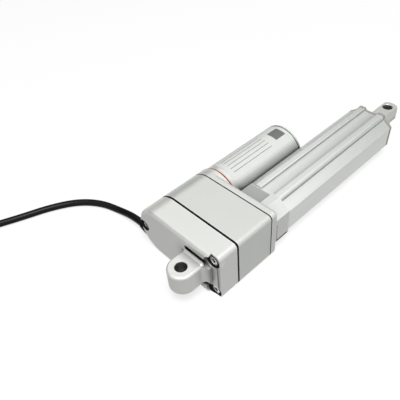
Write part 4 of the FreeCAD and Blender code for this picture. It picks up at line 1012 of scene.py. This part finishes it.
@dataclass
class Fasteners:
    """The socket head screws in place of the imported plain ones, and the long ones' rubber rings.

    The socket's depth and point are shares of the head's depth, its taper of the key's width, and the
    tip's chamfer and share of the shank's radius.
    """

    sides: int = 48
    bevel: float = 0.35 * MM
    knurl: float = 0.012
    cover_key: float = 3.0 * MM
    cap_key: float = 2.5 * MM
    socket_depth: float = 0.6
    socket_point: float = 0.72
    socket_taper: float = 0.98
    socket_rim: float = 0.12 * MM
    socket_flare: float = 0.24 * MM
    tip_chamfer: float = 0.3
    tip_share: float = 0.7
    seal_outer: tuple[float, ...] = (5.35 * MM, 4.65 * MM, 5.35 * MM)
    seal_top: tuple[float, ...] = (14.2 * MM, 10.8 * MM, 14.2 * MM)
    # The crown's rise beside each pocket's high wall: black rubber standing partly for the shadow on that wall.
    seal_shadow_slant: tuple[float, ...] = (1.0 * MM, 0.0, 0.35 * MM)
    seal_inner: float = 3.15 * MM
    seal_high: float = math.radians(-20.0)
    seal_clear: float = 0.02 * MM
    lowest: float = -19.7 * MM

    def build(self) -> None:
        """Makes the gearbox's three long screws with their rings and the end cap's four."""
        pockets = zip(self.islands("cover_screws"), self.seal_outer, self.seal_top, self.seal_shadow_slant)
        for index, (island, outer, top, slant) in enumerate(pockets, start=1):
            plain = PlainScrew.measured(island, True)
            made = self.screw(f"cover_screw_{index}", plain, self.cover_key)
            Workshop.fit(made, HOUSING, Finishes.ZINC, "zinc_screw", ("cover_screws",))
            made = self.seal(f"screw_ring_{index}", plain, outer, plain.top - top, slant)
            Workshop.fit(made, HOUSING, Finishes.GASKET, "gasket_black")
        for index, island in enumerate(self.islands("end_cap_screws"), start=1):
            plain = PlainScrew.measured(island, False)
            made = self.screw(f"end_cap_screw_{index}", plain, self.cap_key)
            Workshop.fit(made, HOUSING, Finishes.ZINC, "zinc_screw", ("end_cap_screws",))

    def seal(
        self, name: str, plain: PlainScrew, outer: float, proud: float, slant: float
    ) -> bpy.types.Object:
        """Makes the rubber ring that fills a screw's pocket and laps over the rim of its head.

        Args:
            name: the piece's name.
            plain: the screw's sizes.
            outer: the ring's outer radius.
            proud: how far its crown stands above the head.
            slant: how much higher the crown is beside the pocket's high wall, partly standing for its shadow.

        Returns:
            The ring, cut flat where its pocket is open below.
        """
        depth, clear = abs(plain.under - plain.top), self.seal_clear
        profile = (
            (depth, plain.head + clear, 0.0), (-clear, plain.head + clear, 0.0),
            (-clear, self.seal_inner, 0.0), (-proud, (self.seal_inner + outer) / 2, slant),
            (-proud, outer, slant), (depth, outer, 0.0),
        )
        rings = []
        for down, radius, raised in profile:
            ring = []
            for x, y, z in self.ring(plain, down, lambda _, reach=radius: reach):
                angle = math.atan2(z - plain.z, y - plain.y)
                # The crown rises toward the high wall, where the black rubber stands partly for the shadow on it.
                lift = raised * max(math.cos(angle - self.seal_high), 0.0)
                ring.append((x - plain.inward * lift, y, max(z, self.lowest)))
            rings.append(ring)
        return Workshop.rings(name, rings, crease=40.0, closed=True)

    @staticmethod
    def islands(node: str) -> list[list[Vector]]:
        """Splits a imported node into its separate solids.

        Args:
            node: the node's name.

        Returns:
            The points of each solid, from the lowest solid up and then along +Y.
        """
        work = bmesh.new()
        work.from_mesh(bpy.data.objects[node].data)
        bmesh.ops.remove_doubles(work, verts=work.verts, dist=1e-6)
        left, found = set(work.verts), []
        while left:
            front = [left.pop()]
            island = []
            while front:
                vert = front.pop()
                island.append(vert.co.copy())
                for edge in vert.link_edges:
                    other = edge.other_vert(vert)
                    if other in left:
                        left.remove(other)
                        front.append(other)
            found.append(island)
        work.free()
        return sorted(found, key=Fasteners.rank)

    @staticmethod
    def rank(solid: Sequence[Vector]) -> list[float]:
        """Gives a solid's place in the order: by its highest Z and then by its highest Y."""
        return [round(max(point[axis] for point in solid), 4) for axis in (2, 1)]

    def screw(self, name: str, plain: PlainScrew, key: float) -> bpy.types.Object:
        """Makes one socket head screw in the place of a plain one.

        Args:
            name: the piece's name.
            plain: the plain screw's sizes.
            key: the width of its hexagon socket.

        Returns:
            The screw.
        """
        depth, shank = abs(plain.under - plain.top), plain.shank
        socket = (
            (depth * self.socket_depth, key * self.socket_taper), (self.socket_rim, key),
            (0.0, key + self.socket_flare),
        )
        thread = (
            (depth, shank), (plain.length - shank * self.tip_chamfer, shank),
            (plain.length, shank * self.tip_share),
        )
        rings = []
        for down, width in socket:
            rings.append(self.ring(plain, down, lambda angle, across=width: self.hexagon(across, angle)))
        rings.append(self.ring(plain, 0.0, lambda _: plain.head - self.bevel))
        for down in (self.bevel, depth):
            rings.append(self.ring(plain, down, lambda angle: plain.head * self.tooth(angle)))
        for down, radius in thread:
            rings.append(self.ring(plain, down, lambda _, reach=radius: reach))
        floor = (plain.top + plain.inward * depth * self.socket_point, plain.y, plain.z)
        tip = (plain.top + plain.inward * plain.length, plain.y, plain.z)
        return Workshop.rings(name, rings, floor, tip, 30.0)

    def ring(self, plain: PlainScrew, down: float, radius: Callable[[float], float]) -> list[Point]:
        """Gives one ring of points round a screw's axis, so far below the top of its head."""
        middle = (plain.top + plain.inward * down, plain.y, plain.z)
        return Workshop.ring(middle, self.sides, radius)

    @staticmethod
    def hexagon(width: float, angle: float) -> float:
        """Gives how far a hexagon of that width reaches at an angle."""
        sixth = math.pi / 3
        return width / 2 / math.cos((angle + sixth / 2) % sixth - sixth / 2)

    def tooth(self, angle: float) -> float:
        """Gives the share of the head's radius at an angle, less on every other point for its knurl."""
        return 1.0 - self.knurl * (round(angle * self.sides / (2 * math.pi)) % 2)


@dataclass
class MotorLabel:
    """The foil label round the upper side of the motor can, ruled but with nothing written on it.

    Angles round the can are in degrees, from +Y over the top.
    """

    rear: float = 76.0 * MM
    front: float = 141.8 * MM
    first: float = 20.0
    last: float = 131.0
    corner: float = 1.6 * MM
    proud: float = 0.05 * MM
    gap: float = 0.005 * MM
    ink: float = 0.01 * MM
    rows: int = 72
    rules: tuple[float, ...] = (70.0, 81.0, 92.0, 103.0, 114.0)
    rule_rear: float = 80.0 * MM
    rule_front: float = 122.0 * MM
    rule_width: float = 0.45 * MM
    field_rear: float = 129.0 * MM
    field_front: float = 140.0 * MM
    field_first: float = 79.0
    field_last: float = 109.0
    field_corner: float = 0.8 * MM

    def build(self) -> None:
        """Makes the label on the can and its print."""
        span = (self.first, self.last)
        self.sheet("motor_label", self.rear, self.front, span, self.corner, Finishes.FOIL)
        half = math.degrees(self.rule_width / 2 / self.can()[2])
        for index, angle in enumerate(self.rules, start=1):
            span = (angle - half, angle + half)
            name = f"label_rule_{index}"
            self.sheet(name, self.rule_rear, self.rule_front, span, 0.0, Finishes.PRINT)
        span, corner = (self.field_first, self.field_last), self.field_corner
        self.sheet("label_field", self.field_rear, self.field_front, span, corner, Finishes.PRINT)

    @staticmethod
    def can() -> tuple[float, float, float]:
        """Gives the can's axis in Y and Z and its radius."""
        low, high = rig.box("motor_can")
        return (low.y + high.y) / 2, (low.z + high.z) / 2, (high.z - low.z) / 2

    def sheet(
        self,
        name: str,
        rear: float,
        front: float,
        span: tuple[float, float],
        corner: float,
        finish: Finish,
    ) -> None:
        """Makes one thin sheet on the can.

        Args:
            name: the piece's name.
            rear: where it begins along X.
            front: where it ends.
            span: its first and last angle round the can.
            corner: the radius of its corners.
            finish: its finish; ink lies on the foil, and the foil on the can.
        """
        y, z, radius = self.can()
        inked = finish is Finishes.PRINT
        under = radius + (self.proud if inked else self.gap)
        over = under + (self.ink if inked else self.proud)
        first, last = (math.radians(angle) for angle in span)
        rings = []
        for row in range(self.rows + 1):
            share = row / self.rows
            drawn = max(corner - min(share, 1.0 - share) * (last - first) * radius, 0.0)
            inset = corner - math.sqrt(max(corner ** 2 - drawn ** 2, 0.0))
            angle = first + (last - first) * share
            begin, stop = rear + inset, front - inset
            corners = ((begin, under), (begin, over), (stop, over), (stop, under))
            across, up = math.cos(angle), math.sin(angle)
            rings.append([(x, y + across * reach, z + up * reach) for x, reach in corners])
        ends = [sum((Vector(point) for point in ring), Vector()) / 4 for ring in (rings[0], rings[-1])]
        Workshop.fit(Workshop.rings(name, rings, *ends, 40.0), HOUSING, finish, "can_silver")


@dataclass
class MotorTrim:
    """The soft lip of the motor's base seal and the pressed bearing boss on its plain end."""

    sides: int = 96
    lip: tuple[tuple[float, float], ...] = (
        (0.0, 0.03 * MM), (0.0, 0.62 * MM), (0.35 * MM, 0.58 * MM), (0.75 * MM, 0.3 * MM),
        (0.9 * MM, 0.03 * MM),
    )
    boss: tuple[tuple[float, float], ...] = (
        (-0.05 * MM, 8.2 * MM), (0.12 * MM, 7.9 * MM), (0.75 * MM, 6.9 * MM), (1.0 * MM, 6.5 * MM),
        (1.05 * MM, 6.1 * MM), (1.05 * MM, 3.4 * MM), (0.8 * MM, 3.0 * MM), (0.55 * MM, 2.6 * MM),
    )
    dimple: float = 0.5 * MM

    def build(self) -> None:
        """Makes the lip and the boss."""
        y, z, radius = MotorLabel.can()
        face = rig.box("motor_base_seal")[1].x
        rings = [self.ring((face + along, y, z), radius + out) for along, out in self.lip]
        made = Workshop.rings("seal_lip", rings, crease=50.0, closed=True)
        Workshop.fit(made, HOUSING, Finishes.ORANGE_SEAL, "seal_orange")
        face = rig.box("motor_end_cap")[1].x
        rings = [self.ring((face + along, y, z), out) for along, out in self.boss]
        foot, dimple = (face + self.boss[0][0], y, z), (face + self.dimple, y, z)
        made = Workshop.rings("motor_boss", rings, foot, dimple, 30.0)
        Workshop.fit(made, HOUSING, Finishes.CAN, "can_silver")

    def ring(self, middle: Point, radius: float) -> list[Point]:
        """Gives a ring of points round the motor's axis."""
        return Workshop.ring(middle, self.sides, lambda _: radius)


@dataclass
class CollarJointAndShadowLine:
    """The thin black strip on the right side of the front cover's collar: partly a rubber joint, partly a painted
    shadow line in the collar's gaps.
    """

    collar_depth: float = 13.2 * MM
    side: float = -20.1 * MM
    back: float = 0.25 * MM
    upright: float = 0.3 * MM
    short: float = 1.5 * MM
    top: float = 6.5 * MM
    over: float = -8.2 * MM
    under: float = -9.4 * MM
    proud: float = 0.04 * MM

    def build(self) -> None:
        """Makes the strip, an upright line beside the plate and a wider one along the lower edge."""
        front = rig.box("outer_tube")[0].x
        rear = front - self.collar_depth + self.back
        outline = [
            (rear, self.top), (rear, self.under), (front - self.short, self.under),
            (front - self.short, self.over), (rear + self.upright, self.over),
            (rear + self.upright, self.top),
        ]
        count = len(outline)
        sides = (self.side - self.proud, self.side + self.proud)
        verts = [(x, y, z) for y in sides for x, z in outline]
        faces = [list(range(count)), list(range(2 * count - 1, count - 1, -1))]
        for step in range(count):
            following = (step + 1) % count
            faces.append([step, following, count + following, count + step])
        # Black rubber that stands partly for the shadow in the gaps beside the plate and under the collar.
        made = Workshop.mesh("collar_joint", verts, faces)
        Workshop.fit(made, HOUSING, Finishes.GASKET, "gasket_black")


@dataclass
class GasketBeadsAndShadow:
    """The rubber that the castings press out of the two gaskets, which also stands for the shadow along the joints."""

    widths: tuple[tuple[str, float], ...] = (("rear_gasket", 1.75 * MM), ("front_gasket", 1.1 * MM))
    rise: float = 0.1 * MM
    bevel: float = 0.15 * MM
    lowest: float = -19.75 * MM

    def build(self) -> None:
        """Makes one strip of pressed-out rubber on each gasket, partly standing for the shadow along it."""
        for node, width in self.widths:
            low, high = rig.box(node)
            middle, half = (low.x + high.x) / 2, width / 2
            profile = ((0.0, half), (self.rise, half - self.bevel))
            profile += tuple((out, -along) for out, along in reversed(profile))
            outline = self.outline(node)
            rings = []
            for out, along in profile:
                ring = [(middle + along, *(point + outward * out)) for point, outward in outline]
                rings.append([(x, y, max(z, self.lowest)) for x, y, z in ring])
            # Black rubber over the castings' edges: partly pressed-out gasket, partly a painted shadow along the
            # joint.
            made = Workshop.rings(f"{node}_bead", rings, crease=50.0, closed=True)
            Workshop.fit(made, HOUSING, Finishes.GASKET, "gasket_black")

    @staticmethod
    def outline(node: str) -> list[tuple[Vector, Vector]]:
        """Finds the outline of a packed gasket.

        Args:
            node: the gasket's name.

        Returns:
            The points of its convex outline in Y and Z, each with its outward direction.
        """
        points = [vertex.co for vertex in bpy.data.objects[node].data.vertices]
        flat = sorted({(round(point.y, 6), round(point.z, 6)) for point in points})
        hull = [Vector(flat[index]) for index in geometry.convex_hull_2d(flat)]
        middle = sum(hull, Vector((0.0, 0.0))) / len(hull)
        found = []
        for index, point in enumerate(hull):
            chord = hull[(index + 1) % len(hull)] - hull[index - 1]
            outward = Vector((chord.y, -chord.x)).normalized()
            found.append((point, outward if outward.dot(point - middle) > 0.0 else -outward))
        return found


@dataclass
class Frame:
    """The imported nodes, each with its finish."""

    nodes: dict[str, bpy.types.Object]

    WEAR: ClassVar[tuple[tuple[Finish, tuple[str, ...]], ...]] = (
        (Finishes.CASTING, ("rear_cover",)),
        (Finishes.HOUSING_CASTING, ("gear_housing",)),
        (Finishes.COLLAR_CASTING, ("front_cover",)),
        (Finishes.CAP, ("tube_end_cap",)),
        (Finishes.EXTRUSION, ("outer_tube",)),
        (Finishes.CAN, ("motor_can", "motor_end_cap")),
        (Finishes.GASKET, ("rear_gasket", "front_gasket", "motor_end_seal", "rod_wiper")),
        (Finishes.ORANGE_SEAL, ("motor_base_seal",)),
        (Finishes.ZINC, ("cover_screws", "tube_screws", "end_cap_screws", "motor_screws")),
        (Finishes.STEEL, (
            "idler_pin", "bearing_outer_race", "bearing_inner_race", "bearing_balls", "motor_shaft",
            "armature_core", "motor_pinion", "lead_screw", "gear_pin", "spacer_sleeve", "rod_end_pin",
        )),
        (Finishes.ROD, ("inner_rod",)),
        (Finishes.EYE, ("rod_end",)),
        (Finishes.NYLON, (
            "intermediate_gear", "output_gear", "drive_nut", "rod_guide_bush", "screw_end_bush",
        )),
        (Finishes.BLACK_PLASTIC, ("brush_holder", "limit_switches", "cable_tie")),
        (Finishes.BOARD, ("switch_strip",)),
        (Finishes.BRONZE, ("rear_bush", "motor_front_bush", "motor_rear_bush")),
        (Finishes.COPPER, ("armature_windings", "commutator")),
        (Finishes.FERRITE, ("motor_magnets", "brushes")),
        (Finishes.JACKET, ("cable_gland", "power_cable", "cable_coil", "cable_end")),
        (Finishes.RED_LEAD, ("cable_leads",)),
    )

    def dress(self) -> None:
        """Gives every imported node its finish."""
        bare = set(self.nodes)
        for finish, names in self.WEAR:
            for name in names:
                slots = self.nodes[name].data.materials
                slots.clear()
                slots.append(finish.material())
                bare.discard(name)
        if bare:
            raise ValueError(f"no finish for {sorted(bare)}")
        log.info("dressed %d packed nodes", len(self.nodes))


@dataclass
class Studio:
    """The white floor, the soft lights and the camera at the photograph's angle."""

    floor: float = -19.85 * MM
    eye: Point = (-98.3 * MM, -145.8 * MM, 228.7 * MM)
    ahead: Point = (0.460, 0.563, -0.687)
    upward: Point = (0.513, 0.463, 0.723)
    focal_pixels: float = 450.53
    picture_pixels: float = 400.0
    sensor: float = 36.0
    clip: tuple[float, float] = (0.01, 20.0)
    world_light: float = 0.13
    floor_half: float = 3.0
    floor_bounce: float = 0.08
    floor_gloss: float = 0.82
    shadow_kept: float = 0.25
    side_card: tuple[Point, ...] = (
        (-1.4, 0.9, 0.0), (1.0, 0.9, 0.0), (1.0, 0.9, 0.55), (-1.4, 0.9, 1.0),
    )
    end_card: tuple[Point, ...] = (
        (1.2, -1.3, 0.0), (1.2, 1.3, 0.0), (1.2, 1.3, 0.85), (1.2, -1.3, 0.85),
    )
    side_tone: float = 0.02
    end_tone: float = 0.25
    felt_grain: float = 6.0 * MM
    felt_range: tuple[float, float] = (0.5, 1.5)
    lamps: tuple[tuple[str, Point, float, float], ...] = (
        ("overhead_softbox", (-0.42, -0.68, 2.48), 1.2, 73.0),
        ("right_softbox", (0.90, -0.90, 1.25), 1.1, 1.4),
    )
    lamp_aim: Point = (0.08, 0.02, 0.0)

    def build(self) -> None:
        """Makes the camera, the floor, the world and the lamps."""
        self.camera()
        self.ground()
        self.card("dark_card", self.side_card, self.side_tone)
        self.card("grey_card", self.end_card, self.end_tone)
        self.world()
        for name, place, width, power in self.lamps:
            self.lamp(name, place, width, power)

    def camera(self) -> None:
        """Makes the camera from its fitted place and directions."""
        data = bpy.data.cameras.new("photo_camera")
        data.sensor_fit = "HORIZONTAL"
        data.sensor_width = self.sensor
        data.lens = self.sensor * self.focal_pixels / self.picture_pixels
        data.clip_start, data.clip_end = self.clip
        back = -Vector(self.ahead).normalized()
        right = Vector(self.upward).cross(back).normalized()
        turn = Matrix((right, back.cross(right), back)).transposed()
        made = Workshop.placed("photo_camera", data)
        made.matrix_world = Matrix.Translation(self.eye) @ turn.to_4x4()
        bpy.context.scene.camera = made

    @staticmethod
    def seen(shade: Shade, gloss: float = 1.0) -> Signal:
        """Marks the rays that show the background itself.

        Args:
            shade: the tree that asks.
            gloss: what a glossy ray gives.

        Returns:
            1 for a ray from the camera or through glass, the given share for a glossy one, else 0.
        """
        camera = shade.node("ShaderNodeLightPath", output="Is Camera Ray")
        glossy = shade.node("ShaderNodeLightPath", output="Is Glossy Ray")
        through = shade.node("ShaderNodeLightPath", output="Is Transmission Ray")
        return camera.most(glossy * gloss).most(through)

    def ground(self) -> None:
        """Makes the floor, white where it is seen, with the object's shadow kept on it."""
        half = self.floor_half
        sides = ((-half, -half), (half, -half), (half, half), (-half, half))
        corners = [(x, y, self.floor) for x, y in sides]
        made = Workshop.mesh("studio_floor", corners, [(0, 1, 2, 3)])
        material, shade = Shade.material("white_floor")
        grey = (self.floor_bounce, self.floor_bounce, self.floor_bounce, 1.0)
        matt = shade.node("ShaderNodeBsdfDiffuse", None, {"Color": WHITE})
        glow = shade.node("ShaderNodeEmission", None, {"Color": WHITE, "Strength": 1.0})
        shown = shade.node("ShaderNodeMixShader", None, {0: 1.0 - self.shadow_kept, 1: matt, 2: glow})
        thrown = shade.node("ShaderNodeBsdfDiffuse", None, {"Color": grey})
        share = self.seen(shade, self.floor_gloss)
        shade.close(shade.node("ShaderNodeMixShader", None, {0: share, 1: thrown, 2: shown}))
        made.data.materials.append(material)
        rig.stage(made)

    def card(self, name: str, corners: Sequence[Point], tone: float) -> None:
        """Makes a felt card beside the set, which shows only in shiny surfaces and shades them.

        Args:
            name: its name.
            corners: its four corners.
            tone: how light its felt is on average.
        """
        made = Workshop.mesh(name, corners, [(0, 1, 2, 3)])
        material, shade = Shade.material(f"{name}_felt")
        dark, light = ((tone * share,) * 3 for share in self.felt_range)
        colour = shade.between(shade.noise(self.felt_grain), dark, light)
        shade.close(shade.node("ShaderNodeBsdfDiffuse", None, {"Color": colour}))
        made.data.materials.append(material)
        made.visible_camera = False
        made.visible_diffuse = False
        made.visible_shadow = False
        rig.stage(made)

    def world(self) -> None:
        """Makes the surroundings: white where they are seen, and a plain soft light elsewhere."""
        made = bpy.data.worlds.new("white_room")
        made.use_nodes = True
        bpy.context.scene.world = made
        shade = Shade(made.node_tree)
        light = shade.node("ShaderNodeBackground", None, {"Color": WHITE, "Strength": self.world_light})
        shown = shade.node("ShaderNodeBackground", None, {"Color": WHITE, "Strength": 1.0})
        mixed = shade.node("ShaderNodeMixShader", None, {0: self.seen(shade), 1: light, 2: shown})
        shade.close(mixed, "ShaderNodeOutputWorld")

    def lamp(self, name: str, place: Point, width: float, power: float) -> None:
        """Makes a square soft lamp that faces the object.

        Args:
            name: its name.
            place: where it hangs.
            width: its side.
            power: its power in watts.
        """
        data = bpy.data.lights.new(name, "AREA")
        data.shape = "SQUARE"
        data.size = width
        data.energy = power
        made = Workshop.placed(name, data)
        made.location = place
        aim = Vector(self.lamp_aim) - Vector(place)
        made.rotation_euler = aim.to_track_quat("-Z", "Y").to_euler()


def main() -> None:
    """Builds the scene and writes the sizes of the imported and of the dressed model."""
    logging.basicConfig(level=logging.INFO, format="%(name)s: %(message)s")
    for old in list(bpy.data.objects):
        bpy.data.objects.remove(old)
    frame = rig.load()
    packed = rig.bounds()
    bpy.context.scene.view_settings.view_transform = "Standard"
    Studio().build()
    Frame(frame["nodes"]).dress()
    Cable().build()
    Fasteners().build()
    MotorLabel().build()
    MotorTrim().build()
    CollarJointAndShadowLine().build()
    GasketBeadsAndShadow().build()
    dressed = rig.bounds()
    sizes = {"packed": [list(v) for v in packed], "dressed": [list(v) for v in dressed]}
    with open(SIZE_FILE, "w") as file:
        json.dump(sizes, file)


if __name__ == "__main__":
    main()
